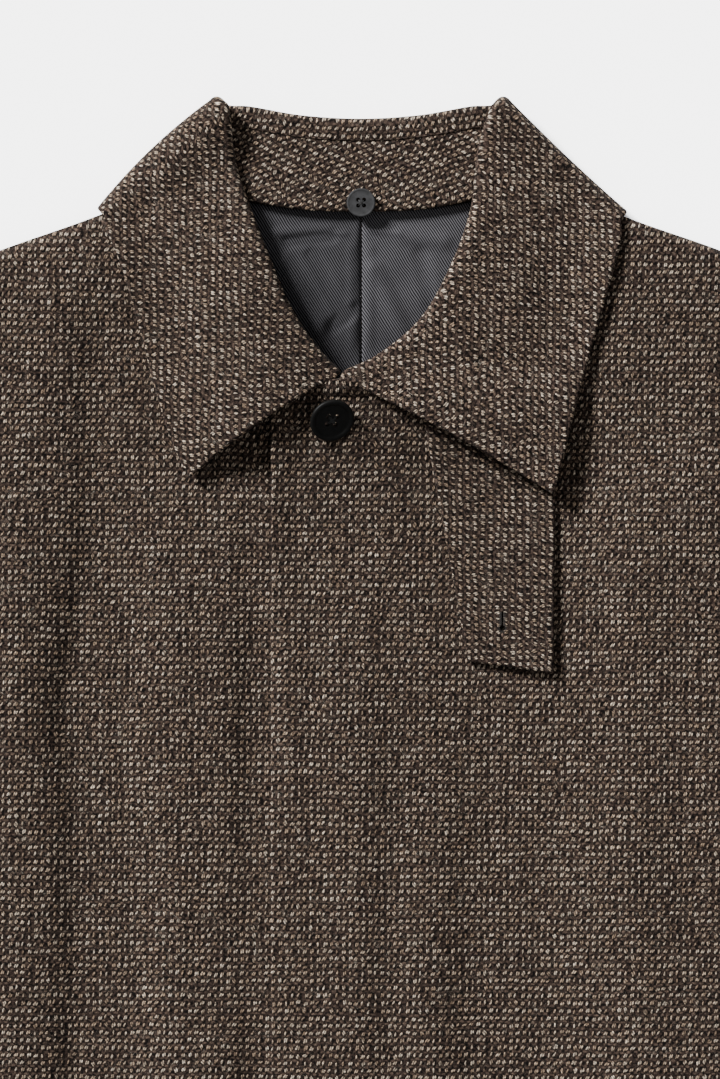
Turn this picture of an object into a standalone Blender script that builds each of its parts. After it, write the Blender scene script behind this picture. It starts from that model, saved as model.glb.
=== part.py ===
"""Balmacaan coat, laid flat on its back with the collar turned down over both shoulders.

Sizes are in millimetres. A place on the coat is x, across it to the viewer's right, and drop, the
distance down from the collar's two high corners. Heights are above the surface it lies on.
"""

import math

import bmesh
import bpy
from mathutils import Matrix, Vector

# Driving sizes
METRES = 0.001
LENGTH = 1100.0
WALL = 2.0
FLY_WALL = 3.0
COLLAR_WALL = 3.0
BAND_WALL = 2.4
LINING_WALL = 1.0
TAB_WALL = 2.6
SEAM = 0.4
BAND_SEAM = 0.9
ARMHOLE_GAP = 0.35
SLEEVE_ROOM = 0.3
LAY = 0.4
EDGE_TURN = 6.0
EDGE_REACH = 34.0
TURN_STARTS_X = 112.0
TURN_STARTS_DROP = 380.0

# Neck and closure
NECK_HALF = 95.0
NECK_BACK_DROP = 64.4
NECK_SIDE_DROP = 45.0
NECK_BACK_HEIGHT = 9.1
FLY_EDGE_X = -49.4
FLY_STITCH_X = 17.0
FRONT_TOP_DROP = 161.0
FOLD_DIP = 12.2
FOLD_HALF = 82.2
FALL_BACK_DROP = 98.0
FALL_CORNER = (147.0, 62.0)
STRIP_WIDTH = 8.0
THROAT_RISE = 3.2
LINING_HALF = 86.0
LINING_END = 188.0
BACK_SEAM_X = 0.8

# Half outline of the body: x, drop
SHOULDER = ((95, 45), (147, 67), (200, 86), (265, 112))
ARMHOLE = ((265, 112), (256, 170), (258, 232), (270, 294), (285, 352))
SIDE = ((285, 352), (294, 560), (310, 820), (326, 1092))
HEM_RISE = 8.0

# Sleeve: its outer fold and its underarm fold, x, drop
SLEEVE_OUTER = ((266, 112), (338, 146), (410, 226), (464, 380), (528, 668))
SLEEVE_INNER = ((290, 352.6), (324, 425), (354, 560), (392, 722))
SLEEVE_HEIGHT = 6.6

# Collar from each front end to the neck's side
# Columns: roll x, roll drop, roll top, edge x, edge drop, edge lift, neck x, neck drop, bow
RIGHT_LEAF = (
    (-10.0, 152.8, 24.0, -94.4, 211.7, 3.0, -15.0, 158.0, 4.0),
    (-21.7, 141.1, 24.5, -103.5, 194.0, 2.0, -35.0, 149.5, 2.0),
    (-37.0, 119.0, 25.0, -113.5, 163.0, 1.0, -59.0, 127.0, 0.0),
    (-50.0, 89.0, 25.5, -124.5, 121.0, 0.5, -81.0, 99.0, 0.0),
    (-62.2, 57.2, 24.5, -134.5, 88.0, 0.5, -91.5, 74.0, 0.0),
    (-69.3, 35.0, 22.4, -141.0, 74.0, 0.5, -93.0, 60.0, 0.0),
)
LEFT_LEAF = (
    (-8.3, 152.8, 24.5, 107.2, 221.1, 3.0, -13.0, 158.5, 3.0),
    (11.0, 142.5, 25.0, 113.5, 197.0, 2.5, 15.0, 154.5, 1.5),
    (34.0, 122.5, 25.5, 120.5, 169.0, 1.5, 45.0, 139.0, 0.0),
    (50.5, 93.0, 26.0, 130.0, 134.0, 1.0, 73.0, 111.0, 0.0),
    (61.5, 61.0, 25.0, 140.5, 97.0, 0.5, 90.5, 77.0, 0.0),
    (66.0, 27.0, 22.0, 145.0, 78.0, 0.5, 92.5, 58.0, 0.0),
)
LEAF_ROLL = 3.6
BACK_ROLL = 2.9
BACK_SHARES = (-0.75, -0.4, 0.0, 0.4, 0.75)

# Turn of the collar over each shoulder: x, drop, radius of the turn, middle height
ROLL_TURN = (78.0, 2.0, 5.6, 10.1)
NECK_TURN = (89.5, 45.0, 2.5, 10.0)
EDGE_TURN_RIGHT = (145.0, 63.1, 4.4, 6.0)
EDGE_TURN_LEFT = (147.8, 65.0, 4.4, 6.0)
TURN_ANGLES = (90, 45, 0, -45, -90)
CREASE_BOW = {-1: 3.0, 1: -1.0}

# Soft folds of both fronts, along the coat
# Columns: x at the top, x at the hem, first drop, last drop, half width, rise
FOLDS = (
    (-146, -170, 70, 1160, 17, -1.7),
    (-190, -204, 130, 900, 24, 1.4),
    (-62, -60, 180, 1160, 12, -1.1),
    (-106, -118, 210, 1000, 24, 0.9),
    (-262, -268, 420, 1160, 24, -1.3),
    (14, 12, 240, 1160, 9, -0.5),
    (56, 60, 380, 980, 16, -0.7),
    (150, 160, 170, 760, 26, 1.3),
    (104, 98, 360, 1160, 22, -1.0),
    (204, 222, 100, 820, 20, -1.2),
    (262, 270, 460, 1160, 26, 1.2),
)

# Sleeve folds, from share of length and width to another: start, end, half width, rise
SLEEVE_FOLDS = (
    ((0.10, 0.75), (0.52, 0.55), 0.10, -1.4),
    ((0.30, 0.95), (0.46, 0.30), 0.07, -1.3),
    ((0.44, 1.00), (0.60, 0.25), 0.06, -1.2),
    ((0.62, 0.20), (0.98, 0.35), 0.11, -1.1),
)

# Throat tab: x and drop of its corners, and its buttonhole
TAB_CORNERS = ((34.0, 172.0), (109.0, 172.0), (107.2, 320.0), (60.0, 313.5))
TAB_LAY = 0.8
TAB_LIFT = 1.4
TAB_EYELET = (78.9, 295.0)
EYELET_RADIUS = 1.5
SLIT_LENGTH = 9.0
SLIT_WIDTH = 0.9

# Buttons: x, drop, diameter, thickness
TOP_BUTTON = (-16.1, 178.9, 25.0, 3.6)
NECK_BUTTON = (0.6, 59.1, 16.0, 2.8)
RIM_SHARE = 0.16
HOLE_RADIUS_SHARE = 0.055
HOLE_RING_SHARE = 0.135
HOLE_TURN = 38

TWEED = ("tweed", (0.075, 0.055, 0.044), 0.92)
LINING = ("lining", (0.08, 0.077, 0.083), 0.42)
HORN = ("button_black", (0.012, 0.012, 0.013), 0.34)
HORN_GREY = ("button_grey", (0.06, 0.06, 0.062), 0.5)


def spot(x, drop, height=0.0):
    """Point of the coat, y running up it from the collar's high corners."""
    return Vector((x, -drop, height))


def ease(low, high, value):
    """Smooth step from 0 at low to 1 at high."""
    share = min(max((value - low) / (high - low), 0.0), 1.0)
    return share * share * (3.0 - 2.0 * share)


def bell(distance, half_width):
    """Smooth bump, 1 at no distance and 0 from the half width outwards."""
    return 1.0 - ease(0.0, half_width, abs(distance))


def stops_of(rows):
    """Running distance along the rows, from 0 to 1."""
    stops = [0.0]
    for before, after in zip(rows, rows[1:]):
        step = math.dist(before, after)
        stops.append(stops[-1] + max(step, 1e-6))
    return [stop / stops[-1] for stop in stops]


def smooth_row(rows, stops, at):
    """Row of a smooth curve that passes through all the rows at their stops."""
    last = len(rows) - 1
    at = min(max(at, stops[0]), stops[-1])
    first = 0
    while first < last - 1 and at > stops[first + 1]:
        first += 1

    def slope(index):
        low = max(index - 1, 0)
        high = min(index + 1, last)
        gap = stops[high] - stops[low]
        return [(b - a) / gap for a, b in zip(rows[low], rows[high])]

    span = stops[first + 1] - stops[first]
    t = (at - stops[first]) / span
    weights = (
        2 * t**3 - 3 * t**2 + 1,
        (t**3 - 2 * t**2 + t) * span,
        3 * t**2 - 2 * t**3,
        (t**3 - t**2) * span,
    )
    parts = (rows[first], slope(first), rows[first + 1], slope(first + 1))
    return [sum(w * part[i] for w, part in zip(weights, parts)) for i in range(len(rows[0]))]


def curve(rows, share):
    """Point of a smooth curve through a table's rows, at a share of its length."""
    return smooth_row(rows, stops_of(rows), share)


def height_at(rows, x):
    """Drop of a table's smooth curve at x, the rows being in order of x."""
    return smooth_row([(row[1],) for row in rows], [row[0] for row in rows], x)[0]


def width_at(rows, drop):
    """Half width of a table's smooth curve at a drop, the rows being in order of drop."""
    return smooth_row([(row[0],) for row in rows], [row[1] for row in rows], drop)[0]


def neck_back(x):
    """Drop of the back neck seam."""
    share = min(abs(x) / NECK_HALF, 1.0)
    return NECK_BACK_DROP - (NECK_BACK_DROP - NECK_SIDE_DROP) * share**2.6


def fold_back(x):
    """Drop of the collar's fold behind the neck."""
    return FOLD_DIP * (1.0 - (x / FOLD_HALF) ** 2)


def fall_reach(x):
    """Drop of the collar's outer edge under the back."""
    corner_x, corner_drop = FALL_CORNER
    return FALL_BACK_DROP - (FALL_BACK_DROP - corner_drop) * (x / corner_x) ** 2


def back_floor(x, drop):
    """Height of the back's underside: flat, and raised where the collar lies under it."""
    return (COLLAR_WALL + 1.0) * (1.0 - ease(9.0, 52.0, drop - fall_reach(x)))


def lining_share(x, drop):
    """1 where the lining lies, fading to 0 past its edges."""
    across = 1.0 - ease(LINING_HALF, LINING_HALF + 18.0, abs(x))
    down = 1.0 - ease(LINING_END, LINING_END + 20.0, drop)
    return across * down


def under_front(x, drop):
    """Height of what the fronts lie on."""
    return back_floor(x, drop) + WALL + (LINING_WALL + LAY) * lining_share(x, drop)


def fold_rise(x, drop):
    """Loft of the fronts over the back, with their soft folds."""
    rise = 1.9
    for x_top, x_hem, first, last, half_width, height in FOLDS:
        middle = x_top + (x_hem - x_top) * drop / LENGTH
        fade = ease(first, first + 90.0, drop) * (1.0 - ease(last - 120.0, last, drop))
        rise += height * fade * bell(x - middle, half_width)
    return min(max(rise, 0.2), 3.6)


def quarter(distance):
    """Height share of an edge that turns down in a quarter round."""
    share = 1.0 - min(max(distance / EDGE_TURN, 0.0), 1.0)
    return math.sqrt(max(1.0 - share * share, 0.0))


def neck_rows(leaf):
    """Front neck seam of one leaf, x and drop."""
    return [(row[6], row[7]) for row in leaf]


NECK_POINTS = [curve(neck_rows(leaf), k / 10.0) for leaf in (RIGHT_LEAF, LEFT_LEAF) for k in range(11)]


def neck_lift(x, drop):
    """Rise of the fronts towards the collar's seam."""
    near = min(math.hypot(x - px, drop - pd) for px, pd in NECK_POINTS)
    return 2.4 * (1.0 - ease(0.0, 36.0, near))


def from_shoulder(x, drop):
    """Distance down from the shoulder edge."""
    half = abs(x)
    return drop - height_at(SHOULDER, half) if half < SHOULDER[-1][0] else EDGE_REACH


def from_side(x, drop):
    """Distance in from the side seam."""
    return width_at(SIDE, drop) - abs(x) if drop > SIDE[0][1] else EDGE_REACH


def open_level(x, drop):
    """Middle height of the lower front as it lies, before its edges turn down."""
    shoulder = from_shoulder(x, drop) if abs(x) > TURN_STARTS_X else EDGE_REACH
    side = from_side(x, drop) if drop > TURN_STARTS_DROP else EDGE_REACH
    inward = min(shoulder, side)
    loft = fold_rise(x, drop) * (0.3 + 0.7 * ease(0.0, EDGE_REACH, inward))
    return under_front(x, drop) + LAY + WALL / 2 + loft + neck_lift(x, drop)


def front_level(x, drop):
    """Middle height of the lower front, turned down at the shoulder and the side."""
    rim = back_floor(x, drop) + 0.3
    turned = 1.0 - ease(NECK_HALF, TURN_STARTS_X, abs(x)) * (1.0 - quarter(from_shoulder(x, drop)))
    by_side = ease(SIDE[0][1], TURN_STARTS_DROP, drop)
    turned *= 1.0 - by_side * (1.0 - quarter(from_side(x, drop)))
    return rim + (open_level(x, drop) - rim) * turned


def fly_share(x):
    """1 where the left front lies on the right one, falling to 0 beyond the fly."""
    return 1.0 - ease(FLY_STITCH_X + 2.0, FLY_STITCH_X + 50.0, x)


def left_wall(x):
    """Wall of the left front, thicker over the fly."""
    return WALL + (FLY_WALL - WALL) * (1.0 - ease(FLY_STITCH_X - 4.0, FLY_STITCH_X + 14.0, x))


def lap_rise(x, drop):
    """Rise of the left front over the right one and where it is buttoned at the throat."""
    lap = fly_share(x) * (WALL / 2 + LAY + left_wall(x) / 2)
    across = ease(-120.0, FLY_EDGE_X, x) * (1.0 - ease(-10.0, 60.0, x))
    return lap + THROAT_RISE * (1.0 - ease(166.0, 250.0, drop)) * across


def left_level(x, drop):
    """Middle height of the left front, which laps over the right one."""
    return front_level(x, drop) + lap_rise(x, drop)


def tab_share(x, drop):
    """1 over the throat tab, fading out round it."""
    across = ease(14.0, 33.0, x) * (1.0 - ease(111.0, 128.0, x))
    down = ease(148.0, 168.0, drop) * (1.0 - ease(322.0, 340.0, drop))
    return across * down


def leaf_bed(x, drop, side):
    """Height of what a collar leaf lies on, smoothed over steps."""
    level = open_level(x, drop)
    if side < 0:
        over_fly = ease(-86.0, FLY_EDGE_X, x) * ease(128.0, 158.0, drop)
        return level + WALL / 2 + over_fly * (lap_rise(x, drop) + FLY_WALL - WALL)
    top = level + lap_rise(x, drop) + left_wall(x) / 2
    return top + tab_share(x, drop) * (TAB_WALL + TAB_LAY + LAY)


def outward(side, x_part, up_part):
    """Unit vector in plan, pointing off the coat on one side."""
    return Vector((side * x_part, up_part, 0.0)).normalized()


def turned_point(turn, side, normal, angle):
    """Point of the collar's turn over the shoulder at an angle, 90 on top and -90 below."""
    x, drop, radius, middle = turn
    centre = spot(side * x, drop, middle) - normal * radius
    lift = Vector((0.0, 0.0, radius * math.sin(angle)))
    return centre + normal * radius * math.cos(angle) + lift


def collar_row(fold, edge, neck, angle, radius, bow, lift, normal):
    """One row of the collar's table of sections, as plain numbers."""
    return (*fold, *edge, *neck, angle, radius, *bow, lift, *normal)


def leaf_rows(leaf, side):
    """Rows of one leaf, from its front end to the shoulder."""
    rows = []
    level = front_level if side < 0 else left_level
    for roll_x, roll_drop, roll_top, edge_x, edge_drop, lift, neck_x, neck_drop, bow in leaf:
        neck = spot(neck_x, neck_drop, level(neck_x, neck_drop))
        toward = spot(roll_x - neck_x, roll_drop - neck_drop).normalized()
        height = roll_top - COLLAR_WALL / 2 - LEAF_ROLL
        fold = spot(roll_x, roll_drop, height) - toward * (COLLAR_WALL / 2)
        edge = spot(edge_x, edge_drop, leaf_bed(edge_x, edge_drop, side))
        rows.append(collar_row(fold, edge, neck, 90.0, LEAF_ROLL, (0.0, bow), lift, (side, 0.0)))
    return rows


def turn_rows(side):
    """Rows of the collar's turn over one shoulder, from the front to the back."""
    rows = []
    edge_turn = EDGE_TURN_RIGHT if side < 0 else EDGE_TURN_LEFT
    roll_out = outward(side, 0.70, 0.71)
    edge_out = outward(side, 0.70, 0.72)
    neck_out = outward(side, 0.60, 0.80)
    facing = outward(side, 0.86, 0.51)
    for degrees in TURN_ANGLES:
        angle = math.radians(degrees)
        bow = edge_out * CREASE_BOW[side] * math.cos(angle)
        rows.append(
            collar_row(
                turned_point(ROLL_TURN, side, roll_out, angle),
                turned_point(edge_turn, side, edge_out, angle),
                turned_point(NECK_TURN, side, neck_out, angle),
                degrees,
                BACK_ROLL + (LEAF_ROLL - BACK_ROLL) * max(math.sin(angle), 0.0),
                bow.xy,
                0.3,
                facing.xy,
            )
        )
    return rows


def back_rows():
    """Rows of the collar behind the neck, from the viewer's left to the right."""
    rows = []
    for share in BACK_SHARES:
        fold_x = share * FOLD_HALF
        edge_x = share * FALL_CORNER[0]
        neck_x = share * NECK_HALF
        middle = COLLAR_WALL / 2 + 0.25
        fold = spot(fold_x, fold_back(fold_x) + COLLAR_WALL / 2, middle + BACK_ROLL)
        edge = spot(edge_x, fall_reach(edge_x), middle)
        neck_height = NECK_BACK_HEIGHT - 1.3 * share * share
        neck = spot(neck_x, neck_back(neck_x), neck_height)
        rows.append(collar_row(fold, edge, neck, -90.0, BACK_ROLL, (0.0, 0.0), 0.0, (share, 0.0)))
    return rows


def all_collar_rows():
    """Every row of the collar, from its right front end round the back to its left one."""
    right = leaf_rows(RIGHT_LEAF, -1) + turn_rows(-1)
    left = leaf_rows(LEFT_LEAF, 1) + turn_rows(1)
    return right + back_rows() + left[::-1]


ROWS = all_collar_rows()
ROW_STOPS = stops_of([row[:6] for row in ROWS])


class Section:
    """Cross section of the collar at one place along it."""

    def __init__(self, at):
        row = smooth_row(ROWS, ROW_STOPS, at)
        self.fold = Vector(row[0:3])
        self.edge = Vector(row[3:6])
        self.neck = Vector(row[6:9])
        self.degrees = min(max(row[9], -90.0), 90.0)
        self.radius = row[10]
        self.bow = Vector((row[11], row[12], 0.0))
        self.lift = row[13]
        self.side = -1 if self.edge.x < 0 else 1
        angle = math.radians(self.degrees)
        normal = Vector((row[14], row[15], 0.0))
        normal = normal.normalized() if normal.length > 1e-6 else Vector((1.0, 0.0, 0.0))
        self.facing = (normal * math.cos(angle) + Vector((0.0, 0.0, math.sin(angle)))).normalized()
        rise = self.fold - self.neck
        rise -= self.facing * rise.dot(self.facing)
        self.up = rise.normalized()
        self.core = self.fold - self.up * self.radius

    def roll(self, share):
        """Point of the roll, from the band's side at 0 to the fall's side at 1."""
        turn = math.pi * share
        return self.core + (self.up * math.sin(turn) - self.facing * math.cos(turn)) * self.radius

    def band(self, share):
        """Point of the stand, from the roll at 0 down to the neck seam at 1."""
        start = self.roll(0.0)
        reach = (self.neck - start).length / 3.0
        slope = (start - self.neck).normalized()
        ease_in = start - self.up * reach
        ease_out = self.neck + slope * reach
        rest = 1.0 - share
        return (
            start * rest**3
            + ease_in * 3 * rest**2 * share
            + ease_out * 3 * rest * share**2
            + self.neck * share**3
        )

    def strip(self):
        """Share of the stand that the upper collar covers below the fold."""
        length = (self.neck - self.roll(0.0)).length
        return min(STRIP_WIDTH / length, 0.42)

    def fall(self, share):
        """Point of the fall, from the roll at 0 to the outer edge at 1."""
        start = self.roll(1.0)
        point = start.lerp(self.edge, share) + self.bow * 4.0 * share * (1.0 - share)
        follow = ease(60.0, 90.0, self.degrees)
        rest = self.edge.z
        if follow > 0.0:
            bed = leaf_bed(point.x, -point.y, self.side) + LAY + COLLAR_WALL / 2
            rest += (bed + self.lift * share * share - rest) * follow
        down = ease(0.0, 0.9, share)
        point.z = start.z + (rest - start.z) * down
        return point


def collar_stops():
    """Places along the collar where sections are taken, denser over the shoulders."""
    stops = []
    for index, (before, after) in enumerate(zip(ROW_STOPS, ROW_STOPS[1:])):
        turning = abs(ROWS[index][9] - ROWS[index + 1][9]) > 1.0
        stops.append(before)
        if not turning and after - before > 0.02:
            stops.append((before + after) / 2)
    return stops + [1.0]


def normals_of(grid):
    """Unit normal at each point of a grid, from its neighbours."""
    last_row = len(grid) - 1
    last_column = len(grid[0]) - 1
    normals = []
    for i in range(last_row + 1):
        line = []
        for j in range(last_column + 1):
            down = grid[min(i + 1, last_row)][j] - grid[max(i - 1, 0)][j]
            across = grid[i][min(j + 1, last_column)] - grid[i][max(j - 1, 0)]
            line.append(across.cross(down).normalized())
        normals.append(line)
    return normals


def make_material(finish):
    """Principled material of one finish: name, colour and roughness."""
    name, colour, roughness = finish
    material = bpy.data.materials.get(name)
    if material is None:
        material = bpy.data.materials.new(name)
        material.use_nodes = True
        shader = material.node_tree.nodes["Principled BSDF"]
        shader.inputs["Base Color"].default_value = (*colour, 1.0)
        shader.inputs["Roughness"].default_value = roughness
        shader.inputs["Metallic"].default_value = 0.0
    return material


def add_object(name, mesh_data, finish):
    """Put a finished bmesh, in millimetres, into the scene as one named object."""
    to_metres = Matrix.Scale(METRES, 4) @ Matrix.Translation((0.0, LENGTH / 2, 0.0))
    bmesh.ops.transform(mesh_data, matrix=to_metres, verts=mesh_data.verts)
    mesh = bpy.data.meshes.new(name)
    mesh_data.to_mesh(mesh)
    mesh_data.free()
    mesh.shade_smooth()
    mesh.set_sharp_from_angle(angle=math.radians(40))
    mesh.materials.append(make_material(finish))
    piece = bpy.data.objects.new(name, mesh)
    bpy.context.scene.collection.objects.link(piece)
    return piece


def wall_between(name, upper, lower, finish):
    """Closed wall between two grids of points with the same rows and columns."""
    work = bmesh.new()
    skins = []
    for grid in (upper, lower):
        skins.append([[work.verts.new(point) for point in line] for line in grid])
    last_row = len(upper) - 1
    last_column = len(upper[0]) - 1
    top, base = skins
    for i in range(last_row):
        for j in range(last_column):
            work.faces.new((top[i][j], top[i + 1][j], top[i + 1][j + 1], top[i][j + 1]))
            work.faces.new((base[i][j], base[i][j + 1], base[i + 1][j + 1], base[i + 1][j]))
    rim = [(0, j) for j in range(last_column)]
    rim += [(i, last_column) for i in range(last_row)]
    rim += [(last_row, j) for j in range(last_column, 0, -1)]
    rim += [(i, 0) for i in range(last_row, 0, -1)]
    for here, after in zip(rim, rim[1:] + rim[:1]):
        (a, b), (c, d) = here, after
        work.faces.new((top[a][b], top[c][d], base[c][d], base[a][b]))
    bmesh.ops.recalc_face_normals(work, faces=work.faces)
    return add_object(name, work, finish)


def wall_about(name, grid, thickness, finish):
    """Closed wall that stands half its thickness off each side of a middle surface."""
    normals = normals_of(grid)
    upper = []
    lower = []
    for points, ways in zip(grid, normals):
        halves = [thickness(point) / 2 for point in points]
        upper.append([point + way * half for point, way, half in zip(points, ways, halves)])
        lower.append([point - way * half for point, way, half in zip(points, ways, halves)])
    return wall_between(name, upper, lower, finish)


def patch(top, bottom, left, right, s, t):
    """Point in plan inside four edges: s runs from left to right, t from top to bottom."""
    a, b = Vector(top(0.0)), Vector(top(1.0))
    c, d = Vector(bottom(0.0)), Vector(bottom(1.0))
    across = Vector(top(s)) * (1 - t) + Vector(bottom(s)) * t
    along = Vector(left(t)) * (1 - s) + Vector(right(t)) * s
    corners = a * (1 - s) * (1 - t) + b * s * (1 - t) + c * (1 - s) * t + d * s * t
    return across + along - corners


def side_edge(share, inset=0.0):
    """Point of the armhole and side seam, x and drop, at a share of the drop between them."""
    drop = SHOULDER[-1][1] + (SIDE[-1][1] - SHOULDER[-1][1]) * share
    rows = ARMHOLE if drop < SIDE[0][1] else SIDE
    return (width_at(rows, drop) - inset, drop)


def edge_turn_steps():
    """Distances from an outline at which a quarter-round edge is sampled."""
    return [EDGE_TURN * (1.0 - math.cos(math.radians(degrees))) for degrees in (0, 30, 60, 90)]


# Rows of the fronts as drops below the shoulder point, and columns as shares of the width
NECK_DROPS = (14, 28, 42, 57, 72, 87, 102)
EDGE_TOP_DROP = 118
BODY_DROPS = (140, 162, 184, 204, 222, 240, 275, 320, 380, 450, 530, 620, 720, 820, 910, 980)
FRONT_SHARES = (0.045, 0.09, 0.14, 0.19, 0.24, 0.29, 0.35, 0.42, 0.5, 0.58, 0.66, 0.75, 0.84, 0.93)
NECK_SEAM_ROOM = 2.4
BACK_COLUMNS = 16


def neck_edge(leaf, side):
    """Edge of a front along the neck seam, from the shoulder down to the closure."""
    edge = []
    for roll_x, roll_drop, _, _, _, _, neck_x, neck_drop, _ in leaf:
        away = Vector((neck_x - roll_x, neck_drop - roll_drop)).normalized() * NECK_SEAM_ROOM
        edge.append((neck_x + away.x, neck_drop + away.y))
    edge.append((side * (NECK_HALF + 0.4), NECK_SIDE_DROP + 1.0))
    return edge[::-1]


def front_panel(name, side):
    """One front: neck, shoulder, armhole, side seam and hem round a draped wall."""
    edge = neck_edge(RIGHT_LEAF if side < 0 else LEFT_LEAF, side)
    closing_x = FLY_STITCH_X if side < 0 else FLY_EDGE_X
    level = front_level if side < 0 else left_level
    length = SIDE[-1][1] - SHOULDER[-1][1]
    neck_share = NECK_DROPS[-1] / length
    corner_share = EDGE_TOP_DROP / length

    def top(s):
        start, end = NECK_HALF + 0.4, SHOULDER[-1][0] - WALL / 2
        x = start + (end - start) * s
        return Vector((side * x, height_at(SHOULDER, x) + WALL / 2))

    def bottom(s):
        end = side * (SIDE[-1][0] - WALL / 2)
        x = closing_x + (end - closing_x) * s
        return Vector((x, LENGTH - HEM_RISE * (x / SIDE[-1][0]) ** 2))

    def left(t):
        corner = Vector((closing_x, FRONT_TOP_DROP + 2.0))
        if t < neck_share:
            return Vector(curve(edge, t / neck_share))
        if t < corner_share:
            return Vector(edge[-1]).lerp(corner, (t - neck_share) / (corner_share - neck_share))
        return corner.lerp(bottom(0.0), (t - corner_share) / (1.0 - corner_share))

    def right(t):
        x, drop = side_edge(t, WALL / 2)
        return Vector((side * x, drop))

    width = SIDE[-1][0] - SHOULDER[0][0]
    steps = edge_turn_steps()
    drops = (*steps, *NECK_DROPS, EDGE_TOP_DROP, *BODY_DROPS)
    columns = (0.0, *FRONT_SHARES, *(1.0 - step / width for step in reversed(steps)))
    grid = []
    for drop in drops:
        line = []
        for s in columns:
            plan = patch(top, bottom, left, right, s, drop / length)
            line.append(spot(plan.x, plan.y, level(plan.x, plan.y)))
        grid.append(line)

    def thickness(point):
        return WALL if side < 0 else left_wall(point.x)

    return wall_about(name, grid, thickness, TWEED)


def back_panel():
    """Back: flat on the surface, and over the collar's fall behind the neck."""
    inset = WALL + 2.2
    half = [(x, drop + inset) for x, drop in SHOULDER]

    def top(s):
        across = 2.0 * s - 1.0
        side = -1.0 if across < 0 else 1.0
        share = abs(across)
        if share < 0.36:
            x = share / 0.36 * (NECK_HALF - 2.0)
            return Vector((side * x, neck_back(x) - 3.0))
        end = SHOULDER[-1][0] - ARMHOLE_GAP
        x = NECK_HALF - 2.0 + (end - NECK_HALF + 2.0) * (share - 0.36) / 0.64
        return Vector((side * x, height_at(half, max(x, NECK_HALF))))

    def bottom(s):
        x = (2.0 * s - 1.0) * (SIDE[-1][0] - inset)
        return Vector((x, LENGTH - HEM_RISE * (x / SIDE[-1][0]) ** 2))

    def left(t):
        x, drop = right(t)
        return Vector((-x, drop))

    def right(t):
        x, drop = side_edge(t)
        start = top(1.0)
        inward = ARMHOLE_GAP + (inset - ARMHOLE_GAP) * ease(300.0, SIDE[0][1], drop)
        return Vector((x - inward, start.y + (bottom(1.0).y - start.y) * t))

    drops = (0, *NECK_DROPS, EDGE_TOP_DROP, *BODY_DROPS)
    rows = [drop / drops[-1] for drop in drops]
    columns = [k / BACK_COLUMNS for k in range(BACK_COLUMNS + 1)]
    upper = []
    lower = []
    for t in rows:
        plans = [patch(top, bottom, left, right, s, t) for s in columns]
        lower.append([spot(p.x, p.y, back_floor(p.x, p.y)) for p in plans])
        upper.append([spot(p.x, p.y, back_floor(p.x, p.y) + WALL) for p in plans])
    return wall_between("back", upper, lower, TWEED)


def sleeve(name, side):
    """Sleeve laid flat: a tube with two folded edges, open at the armhole and the cuff."""

    def armhole(t):
        drop = SHOULDER[-1][1] + (SIDE[0][1] - SHOULDER[-1][1]) * t
        return Vector((width_at(ARMHOLE, drop) + ARMHOLE_GAP + SLEEVE_ROOM, drop))

    def outer(s):
        return Vector(curve(SLEEVE_OUTER, s**0.9))

    def inner(s):
        return Vector(curve(SLEEVE_INNER, s))

    def top_height(s, t):
        height = SLEEVE_HEIGHT
        for (s0, t0), (s1, t1), half_width, rise in SLEEVE_FOLDS:
            run = Vector((s1 - s0, t1 - t0))
            here = Vector((s - s0, t - t0))
            share = min(max(here.dot(run) / run.length_squared, 0.0), 1.0)
            apart = (here - run * share).length
            fade = bell(share - 0.5, 0.6)
            height += rise * fade * bell(apart, half_width)
        middle = ease(0.0, 0.18, t) * (1.0 - ease(0.82, 1.0, t))
        return SLEEVE_HEIGHT + (height - SLEEVE_HEIGHT) * middle

    def ring(s, inset):
        """Loop of one section, inset from the outside, as plan and height."""
        start, end = patch_plan(s, 0.0), patch_plan(s, 1.0)
        width = (end - start).length
        radius = SLEEVE_HEIGHT / 2 - inset
        spread = [k / 8 for k in range(9)]
        points = []
        for share in spread:
            t = (SLEEVE_HEIGHT / 2 + share * (width - SLEEVE_HEIGHT)) / width
            points.append((t, top_height(s, t) - inset))
        for degrees in (45, 0, -45):
            angle = math.radians(degrees)
            t = 1.0 - (SLEEVE_HEIGHT / 2 - radius * math.cos(angle)) / width
            points.append((t, SLEEVE_HEIGHT / 2 + radius * math.sin(angle)))
        for share in reversed(spread):
            t = (SLEEVE_HEIGHT / 2 + share * (width - SLEEVE_HEIGHT)) / width
            points.append((t, inset))
        for degrees in (-45, 0, 45):
            angle = math.radians(degrees)
            t = (SLEEVE_HEIGHT / 2 - radius * math.cos(angle)) / width
            points.append((t, SLEEVE_HEIGHT / 2 + radius * math.sin(angle)))
        loop = []
        for t, height in points:
            plan = patch_plan(s, t)
            loop.append(spot(side * plan.x, plan.y, height))
        return loop

    def patch_plan(s, t):
        flat = outer(s).lerp(inner(s), t)
        at_armhole = armhole(t) - outer(0.0).lerp(inner(0.0), t)
        return flat + at_armhole * (1.0 - ease(0.0, 0.3, s))

    work = bmesh.new()
    shares = [k / 11 for k in range(12)]
    skins = []
    for inset in (0.0, WALL):
        skins.append([[work.verts.new(point) for point in ring(s, inset)] for s in shares])
    around = len(skins[0][0])
    for skin in skins:
        for loop, after in zip(skin, skin[1:]):
            for k in range(around):
                n = (k + 1) % around
                work.faces.new((loop[k], loop[n], after[n], after[k]))
    for end in (0, -1):
        shell, hollow = skins[0][end], skins[1][end]
        for k in range(around):
            n = (k + 1) % around
            work.faces.new((shell[k], shell[n], hollow[n], hollow[k]))
    bmesh.ops.recalc_face_normals(work, faces=work.faces)
    return add_object(name, work, TWEED)


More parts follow.
